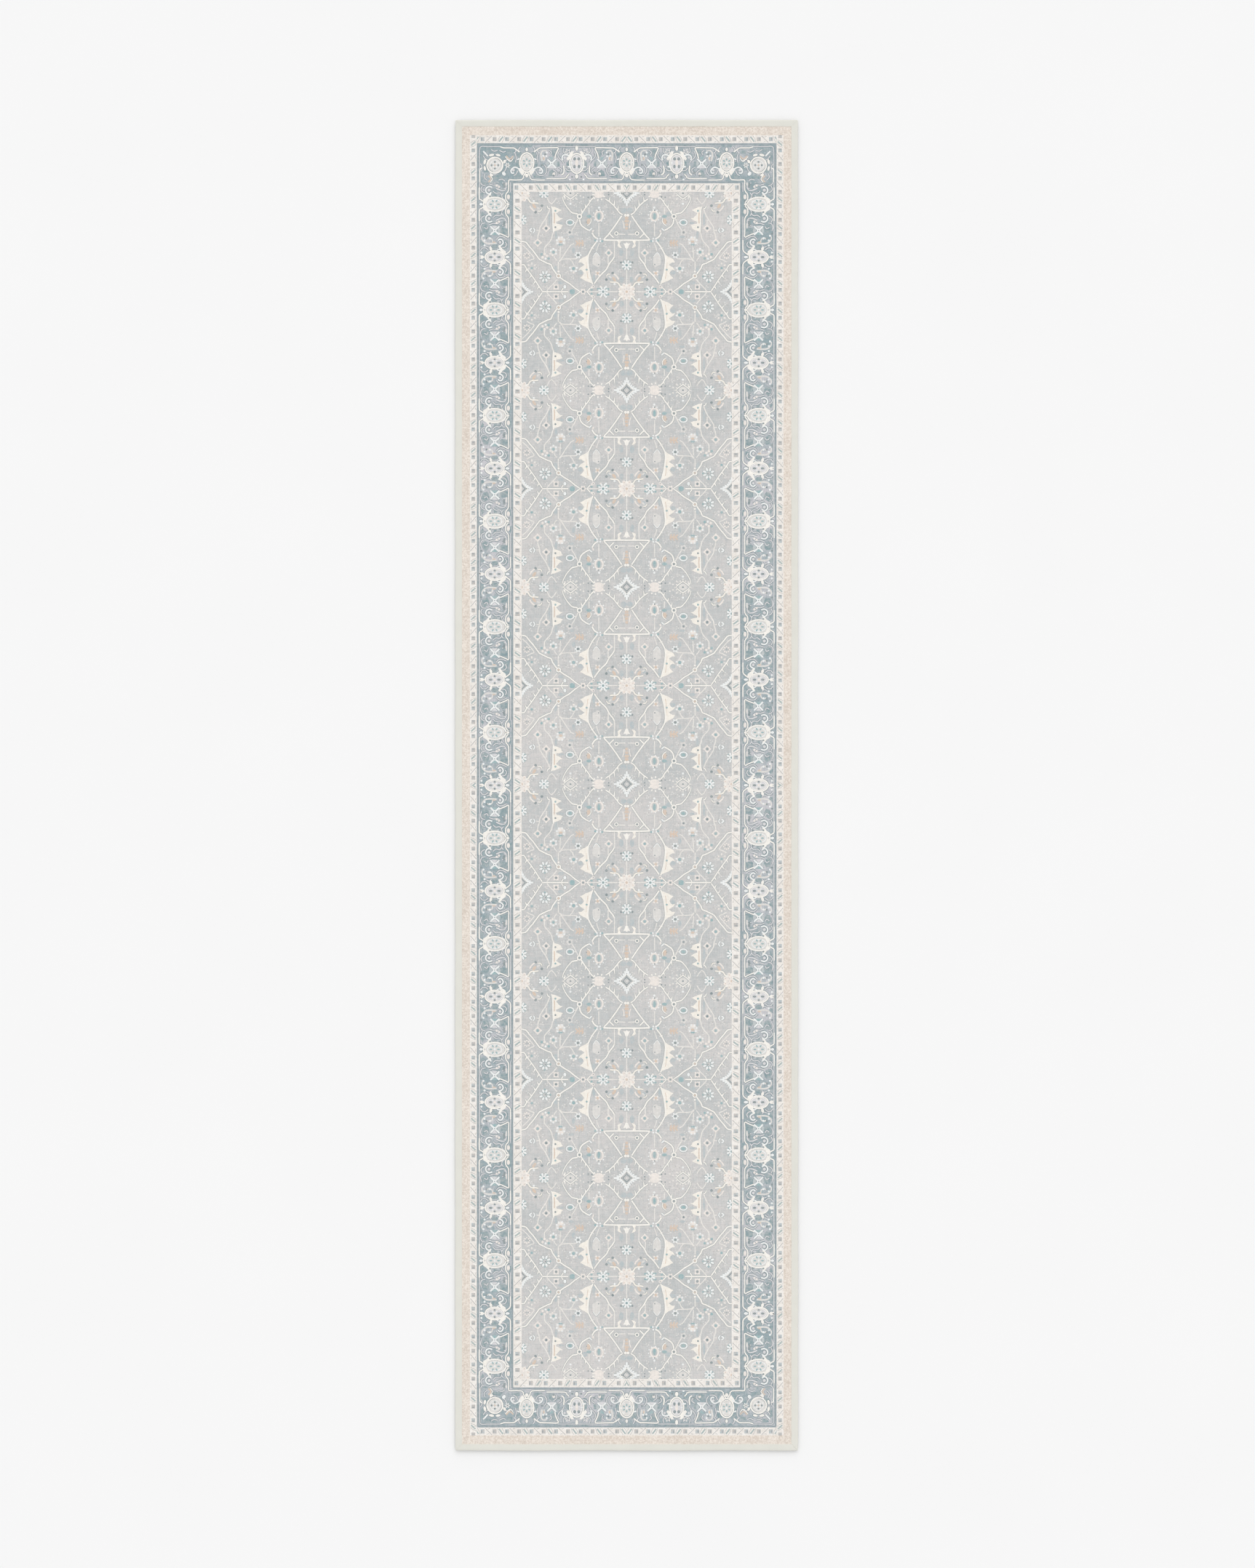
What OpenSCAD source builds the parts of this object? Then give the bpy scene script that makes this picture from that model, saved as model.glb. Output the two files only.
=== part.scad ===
// Runner rug: a thin printed cover with a bound edge, lying on its own non-slip pad.
// X is across the rug, Y is along it, and the pad's grip face stands on z = 0.
// The cover is one body and the pad is the other, so the cover lifts straight off.

/* [Rug] */
// Finished width of the cover, binding included
rug_w = 762; // [500:1:1000]
// Finished length of the cover, binding included
rug_l = 2960; // [1500:5:4500]
// Radius of the cover's four corners
corner_r = 4; // [1:0.5:8]

/* [Cover layers] */
// Thickness of the printed face fabric
face_t = 1.4; // [0.8:0.1:3]
// Thickness of the waterproof film bonded under the face fabric
film_t = 0.2; // [0.1:0.05:0.4]
// Thickness of the looped backing cloth
backing_t = 0.8; // [0.4:0.1:1.5]

/* [Edge binding] */
// Width of the binding tape on the face side
binding_w = 15; // [11:0.5:25]
// Width of the tape that turns under the cover
binding_under_w = 13; // [10:0.5:20]
// Thickness of the binding tape
binding_t = 0.5; // [0.4:0.05:1]

/* [Seam] */
// Distance of the stitch line from the outer edge of the binding
seam_inset = 13; // [9:0.25:14]
// Width of the sewing thread where it lies on the tape
thread_w = 0.6; // [0.3:0.05:1]
// Height of the sewing thread above the tape
thread_proud = 0.15; // [0.05:0.05:0.3]
// Depth to which the thread pulls into the tape
thread_sunk = 0.15; // [0.05:0.05:0.2]

/* [Care label] */
// Length of the blank label along the foot binding
label_l = 45; // [25:1:80]
// Reach of the blank label inward from the binding
label_reach = 14; // [8:1:30]
// Thickness of the label
label_t = 0.3; // [0.1:0.05:0.4]
// Distance of the label's middle from the rug's right edge
label_from_right = 90; // [60:1:200]

/* [Pad] */
// Distance that the pad stops short of the cover's edge
pad_inset = 6; // [3:0.5:9]
// Thickness of the rubber grip sheet that meets the floor
grip_t = 1; // [0.5:0.1:2]
// Thickness of the felt cushion
cushion_t = 3; // [2:0.5:8]
// Thickness of the hook sheet that holds the cover; the tape under the cover is as thick
hook_t = 0.5; // [0.4:0.05:1]
// Gap between the hook sheet and the tape or the label
hook_gap = 1; // [0.5:0.25:4]

/* [Hidden] */
$fn = 48;

// Heights, from the floor up
cushion_z = grip_t;
hook_z = cushion_z + cushion_t;
backing_z = hook_z + max(hook_t, binding_t);
film_z = backing_z + backing_t;
face_z = film_z + film_t;
face_top = face_z + face_t;
tape_top = face_top + binding_t;

// The edge of the layers inside the folded tape
layer_w = rug_w - 2 * binding_t;
layer_l = rug_l - 2 * binding_t;
layer_r = corner_r - binding_t / 2;

// The pad, and the sheet of hooks on it
pad_w = rug_w - 2 * pad_inset;
pad_l = rug_l - 2 * pad_inset;
hook_inset = binding_under_w + hook_gap;
hook_w = rug_w - 2 * hook_inset;
hook_l = rug_l - 2 * hook_inset;

// The label hangs from the inner edge of the tape under the foot end
label_x = rug_w / 2 - label_from_right;
label_y = -rug_l / 2 + binding_under_w;

// How far the mitred pieces of tape are cut, past the tape's own width
mitre_reach = 2 * binding_w;
thread_h = thread_proud + thread_sunk;
cut = 1;

// A rectangle with round corners, centred on the origin
module rounded(w, l, r) {
    square([w - 2 * r, l], center = true);
    square([w, l - 2 * r], center = true);
    for (sx = [-1, 1], sy = [-1, 1])
        translate([sx * (w / 2 - r), sy * (l / 2 - r)])
            circle(r);
}

// One flat layer of the rug, from height z up to z + t
module layer(w, l, r, z, t) {
    translate([0, 0, z])
        linear_extrude(t)
            rounded(w, l, r);
}

// A flat block centred in plan, from height z up to z + t
module block(w, l, z, t) {
    translate([-w / 2, -l / 2, z])
        cube([w, l, t]);
}

// The grooves that the stitch lines pull into the tape, all round
module stitch_groove() {
    outer = seam_inset - thread_w / 2;
    inner = seam_inset + thread_w / 2;
    z = tape_top - thread_sunk;
    difference() {
        block(rug_w - 2 * outer, rug_l - 2 * outer, z, thread_sunk + cut);
        block(rug_w - 2 * inner, rug_l - 2 * inner, z - cut, thread_sunk + 3 * cut);
    }
}

// The whole folded tape, all round the cover
module tape_ring() {
    difference() {
        layer(rug_w, rug_l, corner_r, backing_z - binding_t, tape_top - backing_z + binding_t);
        layer(layer_w, layer_l, layer_r, backing_z, face_top - backing_z);
        block(rug_w - 2 * binding_w, rug_l - 2 * binding_w, backing_z, tape_top);
        block(rug_w - 2 * binding_under_w, rug_l - 2 * binding_under_w, 0, face_z);
        stitch_groove();
    }
}

// The length of tape along the left or right side, cut at 45 degrees at both ends
module side_tape(sx) {
    x0 = rug_w / 2;
    y0 = rug_l / 2;
    intersection() {
        tape_ring();
        linear_extrude(2 * tape_top)
            polygon([
                [sx * x0, -y0], [sx * x0, y0],
                [sx * (x0 - mitre_reach), y0 - mitre_reach],
                [sx * (x0 - mitre_reach), mitre_reach - y0]
            ]);
    }
}

// The length of tape across the head or foot end, cut to meet the side tapes
module end_tape(sy) {
    x0 = rug_w / 2;
    y0 = rug_l / 2;
    intersection() {
        tape_ring();
        linear_extrude(2 * tape_top)
            polygon([
                [-x0, sy * y0], [x0, sy * y0],
                [x0 - mitre_reach, sy * (y0 - mitre_reach)],
                [mitre_reach - x0, sy * (y0 - mitre_reach)]
            ]);
    }
}

// A row of stitches along one side, to the outside of both end rows
module side_seam(sx) {
    translate([sx * (rug_w / 2 - seam_inset), 0, 0])
        block(thread_w, rug_l - 2 * seam_inset + thread_w, tape_top - thread_sunk, thread_h);
}

// A row of stitches across one end, between the side rows
module end_seam(sy) {
    translate([0, sy * (rug_l / 2 - seam_inset), 0])
        block(rug_w - 2 * seam_inset - thread_w, thread_w, tape_top - thread_sunk, thread_h);
}

// Rubber sheet that grips the floor
module pad_grip_sheet() {
    color("dimgray")
        layer(pad_w, pad_l, corner_r, 0, grip_t);
}

// Dense felt that cushions the step
module pad_cushion() {
    color("gray")
        layer(pad_w, pad_l, corner_r, cushion_z, cushion_t);
}

// Sheet of small hooks that holds the cover, with room left for the label
module pad_hook_sheet() {
    color("darkgray")
        difference() {
            block(hook_w, hook_l, hook_z, hook_t);
            translate([label_x, label_y, 0])
                translate([-label_l / 2 - hook_gap, 0, hook_z - cut])
                    cube([label_l + 2 * hook_gap, label_reach + hook_gap, hook_t + 2 * cut]);
        }
}

// Looped cloth on the cover's underside, which the hooks catch
module loop_backing() {
    color("whitesmoke")
        layer(layer_w, layer_l, layer_r, backing_z, backing_t);
}

// Film that keeps spills out of the pad
module barrier_film() {
    color("lightsteelblue")
        layer(layer_w, layer_l, layer_r, film_z, film_t);
}

// Printed face of the cover
module face_fabric() {
    color("lightslategray")
        layer(layer_w, layer_l, layer_r, face_z, face_t);
}

module binding_left() {
    color("beige") side_tape(-1);
}

module binding_right() {
    color("beige") side_tape(1);
}

module binding_head() {
    color("beige") end_tape(1);
}

module binding_foot() {
    color("beige") end_tape(-1);
}

module seam_left() {
    color("ivory") side_seam(-1);
}

module seam_right() {
    color("ivory") side_seam(1);
}

module seam_head() {
    color("ivory") end_seam(1);
}

module seam_foot() {
    color("ivory") end_seam(-1);
}

// Blank cloth label under the foot end
module care_label() {
    color("white")
        translate([label_x - label_l / 2, label_y, backing_z - label_t])
            cube([label_l, label_reach, label_t]);
}

pad_grip_sheet();
pad_cushion();
pad_hook_sheet();
loop_backing();
barrier_film();
face_fabric();
binding_left();
binding_right();
binding_head();
binding_foot();
seam_left();
seam_right();
seam_head();
seam_foot();
care_label();
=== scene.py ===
"""A runner rug: a thin printed cover with a bound edge, lying on a non-slip pad that it lifts off.

Lengths here are in millimetres, x across the rug and y along it, and are turned into metres as
each mesh is made.
"""
import math

import bpy
import numpy as np
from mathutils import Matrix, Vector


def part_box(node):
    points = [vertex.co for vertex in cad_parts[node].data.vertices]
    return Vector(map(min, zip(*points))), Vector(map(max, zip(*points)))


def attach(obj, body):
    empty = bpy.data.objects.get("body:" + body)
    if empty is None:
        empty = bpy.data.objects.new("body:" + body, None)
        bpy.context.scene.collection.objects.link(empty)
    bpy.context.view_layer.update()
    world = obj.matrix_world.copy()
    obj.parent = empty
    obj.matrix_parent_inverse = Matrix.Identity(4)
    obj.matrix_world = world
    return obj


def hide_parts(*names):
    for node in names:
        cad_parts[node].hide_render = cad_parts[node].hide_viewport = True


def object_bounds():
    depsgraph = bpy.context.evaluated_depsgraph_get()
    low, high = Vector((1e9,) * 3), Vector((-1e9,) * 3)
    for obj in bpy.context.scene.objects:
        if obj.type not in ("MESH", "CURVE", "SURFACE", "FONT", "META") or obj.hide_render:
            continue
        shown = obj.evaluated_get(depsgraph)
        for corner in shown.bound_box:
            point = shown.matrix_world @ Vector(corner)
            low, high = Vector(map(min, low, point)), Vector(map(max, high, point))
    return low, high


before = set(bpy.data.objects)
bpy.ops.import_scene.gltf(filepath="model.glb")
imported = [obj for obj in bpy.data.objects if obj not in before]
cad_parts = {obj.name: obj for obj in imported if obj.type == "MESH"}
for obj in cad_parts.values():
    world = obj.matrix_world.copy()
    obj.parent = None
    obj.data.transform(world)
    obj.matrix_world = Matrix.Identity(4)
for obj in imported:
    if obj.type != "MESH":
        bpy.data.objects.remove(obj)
cad_box = [list(corner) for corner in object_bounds()]


# ---------------------------------------------------------------------------
# Where the rug is shown
# A plain white studio floor, wide enough to have no visible edge, under an even white sky. One
# large soft lamp stands past the head of the rug, so the rug's thin edge shades the floor.
# ---------------------------------------------------------------------------
MM = 0.001
SEEN_LENGTH = 3489.5          # length of floor that the camera takes in
LOOK_AT = (1.8, 2.9)          # the camera hangs over this place on the floor
LENS = 100.0
SENSOR = 36.0
FLOOR_HALF = 40.0             # metres


def srgb(r, g, b):
    """A colour from its sRGB bytes, as the shader wants it."""
    values = [c / 255 for c in (r, g, b)]
    return tuple(c / 12.92 if c <= 0.04045 else ((c + 0.055) / 1.055) ** 2.4 for c in values) + (1.0,)


def new_material(name, rough, sheen=0.0):
    """A material with its constant settings on the shader's own sockets."""
    material = bpy.data.materials.new(name)
    material.use_nodes = True
    shader = material.node_tree.nodes["Principled BSDF"]
    shader.inputs["Roughness"].default_value = rough
    shader.inputs["Specular IOR Level"].default_value = 0.25
    shader.inputs["Sheen Weight"].default_value = sheen
    shader.inputs["Sheen Roughness"].default_value = 0.6
    return material, material.node_tree, shader


def noise(tree, scale, stretch=(1, 1, 1), detail=3.0):
    """Cloudy noise fixed to the rug, about so many clouds to the metre. stretch packs it closer along
    each axis, and detail is how many finer layers it has."""
    place = tree.nodes.new("ShaderNodeTexCoord")
    fit = tree.nodes.new("ShaderNodeMapping")
    fit.inputs["Scale"].default_value = stretch
    cloud = tree.nodes.new("ShaderNodeTexNoise")
    cloud.inputs["Scale"].default_value = scale
    cloud.inputs["Detail"].default_value = detail
    tree.links.new(place.outputs["Object"], fit.inputs["Vector"])
    tree.links.new(fit.outputs["Vector"], cloud.inputs["Vector"])
    return cloud.outputs["Fac"]


def mixed(tree, amount, a, b, blend="MIX"):
    """Colour a with colour b laid over it by amount, which runs from 0 to 1."""
    node = tree.nodes.new("ShaderNodeMix")
    node.data_type = "RGBA"
    node.blend_type = blend
    for socket, value in ((node.inputs[0], amount), (node.inputs[6], a), (node.inputs[7], b)):
        if isinstance(value, (int, float, tuple)):
            socket.default_value = value
        else:
            tree.links.new(value, socket)
    return node.outputs[2]


camera = bpy.data.objects.new("camera", bpy.data.cameras.new("camera"))
bpy.context.collection.objects.link(camera)
camera.data.lens = LENS
camera.data.sensor_width = SENSOR
camera.location = (LOOK_AT[0] * MM, LOOK_AT[1] * MM, SEEN_LENGTH * MM * LENS / SENSOR)
camera.data.clip_end = 100.0
bpy.context.scene.camera = camera

floor_mesh = bpy.data.meshes.new("floor")
floor_corners = [(x * FLOOR_HALF, y * FLOOR_HALF, 0) for x, y in ((-1, -1), (1, -1), (1, 1), (-1, 1))]
floor_mesh.from_pydata(floor_corners, [], [(0, 1, 2, 3)])
floor = bpy.data.objects.new("floor", floor_mesh)
bpy.context.collection.objects.link(floor)
paint, tree, shader = new_material("studio_floor", 0.9)
white = mixed(tree, noise(tree, 3.0), srgb(247, 247, 247), srgb(249, 249, 249))
tree.links.new(white, shader.inputs["Base Color"])
floor_mesh.materials.append(paint)

sky = bpy.data.worlds.new("studio")
sky.use_nodes = True
sky.node_tree.nodes["Background"].inputs["Color"].default_value = (1, 1, 1, 1)
sky.node_tree.nodes["Background"].inputs["Strength"].default_value = 0.80
bpy.context.scene.world = sky
lamp = bpy.data.objects.new("lamp", bpy.data.lights.new("lamp", "SUN"))
lamp.data.energy = 0.95
lamp.data.angle = math.radians(60)
lamp.rotation_euler = (math.radians(-50), math.radians(8), 0)
bpy.context.collection.objects.link(lamp)
bpy.context.scene.view_settings.view_transform = "Standard"


# ---------------------------------------------------------------------------
# The pad: grip sheet
# A natural rubber sheet under the whole rug. Its underside is moulded in fine ribs that grip the
# floor, and its top is bonded to the felt.
# ---------------------------------------------------------------------------
HALF_W, HALF_L = cad_box[1][0] / MM, cad_box[1][1] / MM
CORNER_RADIUS = 4.0
RIM = 0.25                    # how much the cut edge of a layer is rounded
GRID = 22.0                   # the widest mesh square on any layer
RIB = 9.0                     # from one rib of the grip sheet to the next
RIB_DEPTH = 0.3


def between(tree, value, low, high, to_low=0.0, to_high=1.0):
    """Spreads value's range from low to high over the range from to_low to to_high."""
    spread = tree.nodes.new("ShaderNodeMapRange")
    for socket, number in zip(("From Min", "From Max", "To Min", "To Max"), (low, high, to_low, to_high)):
        spread.inputs[socket].default_value = number
    tree.links.new(value, spread.inputs["Value"])
    return spread.outputs["Result"]


def bump(tree, shader, height, depth, strength=1.0):
    """Raises the surface by height, which runs from 0 to 1, to a depth in millimetres."""
    node = tree.nodes.new("ShaderNodeBump")
    node.inputs["Distance"].default_value = depth * MM
    node.inputs["Strength"].default_value = strength
    tree.links.new(height, node.inputs["Height"])
    tree.links.new(node.outputs["Normal"], shader.inputs["Normal"])


def lie(x, y):
    """How far the floor side of the rug lets its layers rise and fall, in millimetres."""
    waves = (np.sin(x / 61.0 + y / 173.0 + 0.7) + np.sin(y / 118.0 - x / 190.0)
             + np.sin(y / 64.0 + 2.1 + 0.8 * np.sin(x / 90.0)))
    return 0.18 + 0.06 * waves


def stations(half, *marks):
    """Places from -half to half that include every mark, on both sides, and no gap wider than GRID."""
    fixed = sorted({round(m, 3) for mark in (*marks, half, 0.0) for m in (mark, -mark)})
    places = [fixed[0]]
    for a, b in zip(fixed, fixed[1:]):
        count = max(1, math.ceil((b - a) / GRID))
        places += [a + (b - a) * i / count for i in range(1, count + 1)]
    return np.array(places)


def round_corner(x, y, half_w, half_l):
    """Draws the points near the four corners of a sheet in to a round corner."""
    flat_w, flat_l = half_w - CORNER_RADIUS, half_l - CORNER_RADIUS
    px, py = np.abs(x) - flat_w, np.abs(y) - flat_l
    near = (px > 0) & (py > 0)
    pull = np.where(near, np.maximum(px, py) / np.maximum(np.hypot(px, py), 1e-9), 1.0)
    return (np.where(near, np.sign(x) * (flat_w + px * pull), x),
            np.where(near, np.sign(y) * (flat_l + py * pull), y))


def mesh_piece(name, points, faces, materials, flat_shaded=False, slots=None):
    """A piece made from points in millimetres. slots says which material each face has."""
    mesh = bpy.data.meshes.new(name)
    mesh.from_pydata((np.asarray(points) * MM).tolist(), [], faces)
    for material in materials:
        mesh.materials.append(material)
    mesh.polygons.foreach_set("use_smooth", [not flat_shaded] * len(faces))
    if slots is not None:
        mesh.polygons.foreach_set("material_index", slots)
    mesh.update()
    piece = bpy.data.objects.new(name, mesh)
    bpy.context.collection.objects.link(piece)
    return piece


def slab(name, xs, ys, bottom, top, materials, band=None, hole=None):
    """A layer as a closed slab with a rounded rim. bottom and top give its heights over x and y. band
    says which material its top has at a place, and hole is a part left out, as x and y limits."""
    x, y = [g.ravel() for g in np.meshgrid(xs, ys, indexing="ij")]
    nx, ny = len(xs), len(ys)
    x, y = round_corner(x, y, abs(xs[0]), abs(ys[0]))
    points = np.concatenate([np.stack([x, y, top(x, y)], 1), np.stack([x, y, bottom(x, y)], 1)])
    kept = np.ones((nx - 1, ny - 1), bool)
    if hole is not None:
        mx, my = (xs[:-1] + xs[1:]) / 2, (ys[:-1] + ys[1:]) / 2
        kept = ~((mx[:, None] > hole[0]) & (mx[:, None] < hole[1]) & (my > hole[2]) & (my < hole[3]))
    faces, slots = [], []
    for i in range(nx - 1):
        for j in range(ny - 1):
            if not kept[i, j]:
                continue
            a, b, c, d = i * ny + j, (i + 1) * ny + j, (i + 1) * ny + j + 1, i * ny + j + 1
            slot = band((xs[i] + xs[i + 1]) / 2, (ys[j] + ys[j + 1]) / 2) if band else 0
            faces += [(a, b, c, d), (d + nx * ny, c + nx * ny, b + nx * ny, a + nx * ny)]
            slots += [slot, 0]
            sides = ((a, b, i, j - 1), (b, c, i + 1, j), (c, d, i, j + 1), (d, a, i - 1, j))
            for p, q, u, v in sides:
                if u < 0 or v < 0 or u >= nx - 1 or v >= ny - 1 or not kept[u, v]:
                    faces.append((q, p, p + nx * ny, q + nx * ny))
                    slots.append(0)
    piece = mesh_piece(name, points, faces, materials, slots=slots)
    edge = piece.modifiers.new("rounded rim", "BEVEL")
    edge.width = RIM * MM
    edge.segments = 1
    edge.limit_method = "ANGLE"
    edge.angle_limit = math.radians(60)
    return piece


def node_top(name):
    """The height of a node's top."""
    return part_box(name)[1][2] / MM


def node_bottom(name):
    """The height of a node's underside."""
    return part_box(name)[0][2] / MM


def node_half(name):
    """Half the width and half the length of a node."""
    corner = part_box(name)[1]
    return corner[0] / MM, corner[1] / MM


rubber, tree, shader = new_material("ribbed_rubber", 0.75)
grime = between(tree, noise(tree, 60.0), 0.3, 0.7)
tree.links.new(mixed(tree, grime, srgb(58, 58, 57), srgb(74, 73, 71)), shader.inputs["Base Color"])
bump(tree, shader, noise(tree, 900.0), 0.15)

pad_w, pad_l = node_half("pad_grip_sheet")
grip_top = node_top("pad_grip_sheet")
rib_sides = np.linspace(-pad_w, pad_w, 2 * round(2 * pad_w / RIB) + 1)
grip = slab("grip_sheet", rib_sides, stations(pad_l),
            lambda x, y: RIB_DEPTH * (0.5 - 0.5 * np.cos(2 * math.pi * x / RIB)),
            lambda x, y: np.full_like(x, grip_top), [rubber])
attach(grip, "pad")
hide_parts("pad_grip_sheet")


# ---------------------------------------------------------------------------
# The pad: felt cushion
# Needled felt made from mixed grey fibre. It is cut with the rubber sheet and gives a little
# underfoot, so everything above it lies in very slight waves.
# ---------------------------------------------------------------------------
felt, tree, shader = new_material("flecked_felt", 0.95, sheen=0.2)
fleck = between(tree, noise(tree, 700.0, (1, 0.35, 1), 2.0), 0.38, 0.62)
pale_fleck = between(tree, noise(tree, 420.0, (0.4, 1, 1), 1.0), 0.60, 0.66)
grey = mixed(tree, fleck, srgb(112, 113, 112), srgb(152, 152, 149))
tree.links.new(mixed(tree, pale_fleck, grey, srgb(196, 194, 188)), shader.inputs["Base Color"])
bump(tree, shader, noise(tree, 800.0), 0.4)

FELT_LOW = 0.05               # how far the felt is kept down, as room for its waves
felt_top = node_top("pad_cushion") - FELT_LOW
cushion = slab("felt_cushion", stations(pad_w), stations(pad_l),
               lambda x, y: np.full_like(x, grip_top),
               lambda x, y: felt_top + lie(x, y), [felt])
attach(cushion, "pad")
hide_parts("pad_cushion")


# ---------------------------------------------------------------------------
# The pad: hook sheet
# A thin plastic sheet bonded to the felt, covered in very short moulded hooks that catch the
# loops of the cover. It stops short of the bound edge and leaves room for the care label.
# ---------------------------------------------------------------------------
hooks, tree, shader = new_material("moulded_hooks", 0.6)
row = noise(tree, 1.0, (900.0, 900.0, 1.0), 0.0)
tree.links.new(mixed(tree, between(tree, row, 0.35, 0.65), srgb(98, 100, 102), srgb(128, 130, 132)),
               shader.inputs["Base Color"])
tree.links.new(between(tree, row, 0.3, 0.7, 0.45, 0.7), shader.inputs["Roughness"])
bump(tree, shader, row, 0.4)

HOOKS_LOW = 0.06              # how far the hooks are kept down, clear of the loops
LABEL_ROOM = 1.0              # left free round the care label
hook_w, hook_l = node_half("pad_hook_sheet")
hook_top = node_top("pad_hook_sheet") - HOOKS_LOW
label_low, label_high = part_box("care_label")
recess = (label_low[0] / MM - LABEL_ROOM, label_high[0] / MM + LABEL_ROOM,
          -hook_l - LABEL_ROOM, label_high[1] / MM + LABEL_ROOM)
hook_sheet = slab("hook_sheet", stations(hook_w, recess[0], recess[1]), stations(hook_l, recess[3]),
                  lambda x, y: felt_top + lie(x, y),
                  lambda x, y: hook_top + lie(x, y), [hooks], hole=recess)
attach(hook_sheet, "pad")
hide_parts("pad_hook_sheet")


# ---------------------------------------------------------------------------
# The cover: looped backing
# An off-white loop knit laminated to the underside of the cover. Its brushed loops catch on the
# pad's hooks.
# ---------------------------------------------------------------------------
loops, tree, shader = new_material("loop_knit", 0.95, sheen=0.3)
wale = noise(tree, 600.0, (1, 0.5, 1), 2.0)
tree.links.new(mixed(tree, between(tree, wale, 0.35, 0.65), srgb(206, 206, 202), srgb(228, 228, 225)),
               shader.inputs["Base Color"])
bump(tree, shader, wale, 0.4)

TUCK = 0.4                    # how far the layers stop short of the fold in the tape
layer_w, layer_l = [half - TUCK for half in node_half("loop_backing")]


def layer(name, node, material):
    """One bonded layer of the cover, which lies in the same waves as the felt under it."""
    piece = slab(name, stations(layer_w), stations(layer_l),
                 lambda x, y: node_bottom(node) + lie(x, y),
                 lambda x, y: node_top(node) + lie(x, y), [material])
    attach(piece, "cover")
    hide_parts(node)
    return piece


backing = layer("loop_backing_cloth", "loop_backing", loops)


# ---------------------------------------------------------------------------
# The cover: barrier film
# A soft clear film glued between the backing and the face, so a spill can't reach the pad.
# ---------------------------------------------------------------------------
film, tree, shader = new_material("barrier_film", 0.45)
clear = mixed(tree, noise(tree, 25.0), srgb(196, 205, 212), srgb(206, 214, 219))
tree.links.new(clear, shader.inputs["Base Color"])
tree.links.new(between(tree, noise(tree, 120.0), 0.3, 0.7, 0.35, 0.6), shader.inputs["Roughness"])
barrier = layer("spill_barrier", "barrier_film", film)


# ---------------------------------------------------------------------------
# The cover: printed face
# A flat, tight-woven polyester cloth, printed right through its short pile in faded colours. The
# ground is dyed first: a sand margin, ivory guard stripes, a slate blue border and a grey field.
# ---------------------------------------------------------------------------
SIDE_BANDS = (14.6, 32.4, 47.9, 128.9, 147.5)     # in from each side: margin, guard, border, guard, field
END_BANDS = (14.6, 34.4, 51.9, 141.3, 160.0)      # in from each end, the same
THREAD_GAP = 2.1              # from one raised thread of the face to the next


def sums(tree, operation, a, b):
    """Adds or multiplies two numbers, each a socket or a constant."""
    node = tree.nodes.new("ShaderNodeMath")
    node.operation = operation
    for socket, value in zip(node.inputs, (a, b)):
        if isinstance(value, (int, float)):
            socket.default_value = value
        else:
            tree.links.new(value, socket)
    return node.outputs[0]


def linen(tree, amount):
    """The slubs of the weave: short streaks along and across the cloth, and a fine grain, all
    lighter and darker than 1."""
    across = noise(tree, 1.0, (34.0, 420.0, 1.0), 2.0)
    along = noise(tree, 1.0, (420.0, 34.0, 1.0), 2.0)
    slub = sums(tree, "ADD", between(tree, across, 0.3, 0.7, -amount, amount),
                between(tree, along, 0.3, 0.7, -amount, amount))
    grain = between(tree, noise(tree, 520.0, (1, 1, 1), 1.0), 0.3, 0.7, 1 - amount, 1 + amount)
    return sums(tree, "ADD", slub, grain)


def threads(tree, direction, gap, bend):
    """Bands that run straight across the rug, one to every gap, and waver by bend."""
    place = tree.nodes.new("ShaderNodeTexCoord")
    wave = tree.nodes.new("ShaderNodeTexWave")
    wave.bands_direction = direction
    wave.inputs["Scale"].default_value = 2 * math.pi / (20 * gap * MM)
    wave.inputs["Distortion"].default_value = bend
    tree.links.new(place.outputs["Object"], wave.inputs["Vector"])
    return wave


def weave_bump(tree, shader):
    """The raised threads of the cloth, with fuzz on top."""
    ribs = []
    for direction in ("X", "Y"):
        wave = threads(tree, direction, THREAD_GAP, 2.5)
        wave.inputs["Detail Scale"].default_value = 0.3
        ribs.append(wave.outputs["Fac"])
    fuzz = noise(tree, 1400.0)
    bump(tree, shader, sums(tree, "ADD", sums(tree, "MULTIPLY", ribs[0], ribs[1]), fuzz), 0.25)


def woven_colour(tree, shader, tone, slub):
    """Gives the cloth its tone, broken up by the slubs of the weave."""
    lit = tree.nodes.new("ShaderNodeCombineColor")
    slubs = linen(tree, slub)
    for channel in lit.inputs:
        tree.links.new(slubs, channel)
    tree.links.new(mixed(tree, 1.0, tone, lit.outputs[0], "MULTIPLY"), shader.inputs["Base Color"])


def printed(name, worn, deep, share, low, high, slub, patch, speck):
    """Cloth dyed deep, and worn to a paler colour. share says how much of that is in broad patches,
    and the rest is in specks and in grain. Wear starts where they come to low and is full at high.
    slub is how much the threads vary, and patch and speck are how many there are to the metre."""
    material, tree, shader = new_material(name, 0.92, sheen=0.08)
    broad = sums(tree, "MULTIPLY", noise(tree, patch, (1, 1, 1), 3.0), share)
    mottle = sums(tree, "MULTIPLY", noise(tree, speck, (1, 1, 1), 3.0), (1 - share) * 0.6)
    grain = sums(tree, "MULTIPLY", noise(tree, 380.0, (1, 1, 1), 1.0), (1 - share) * 0.4)
    cloud = sums(tree, "ADD", sums(tree, "ADD", broad, mottle), grain)
    tone = mixed(tree, between(tree, cloud, low, high), srgb(*deep), srgb(*worn))
    woven_colour(tree, shader, tone, slub)
    tree.links.new(between(tree, noise(tree, 300.0), 0.3, 0.7, 0.86, 0.98), shader.inputs["Roughness"])
    weave_bump(tree, shader)
    return material


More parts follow.
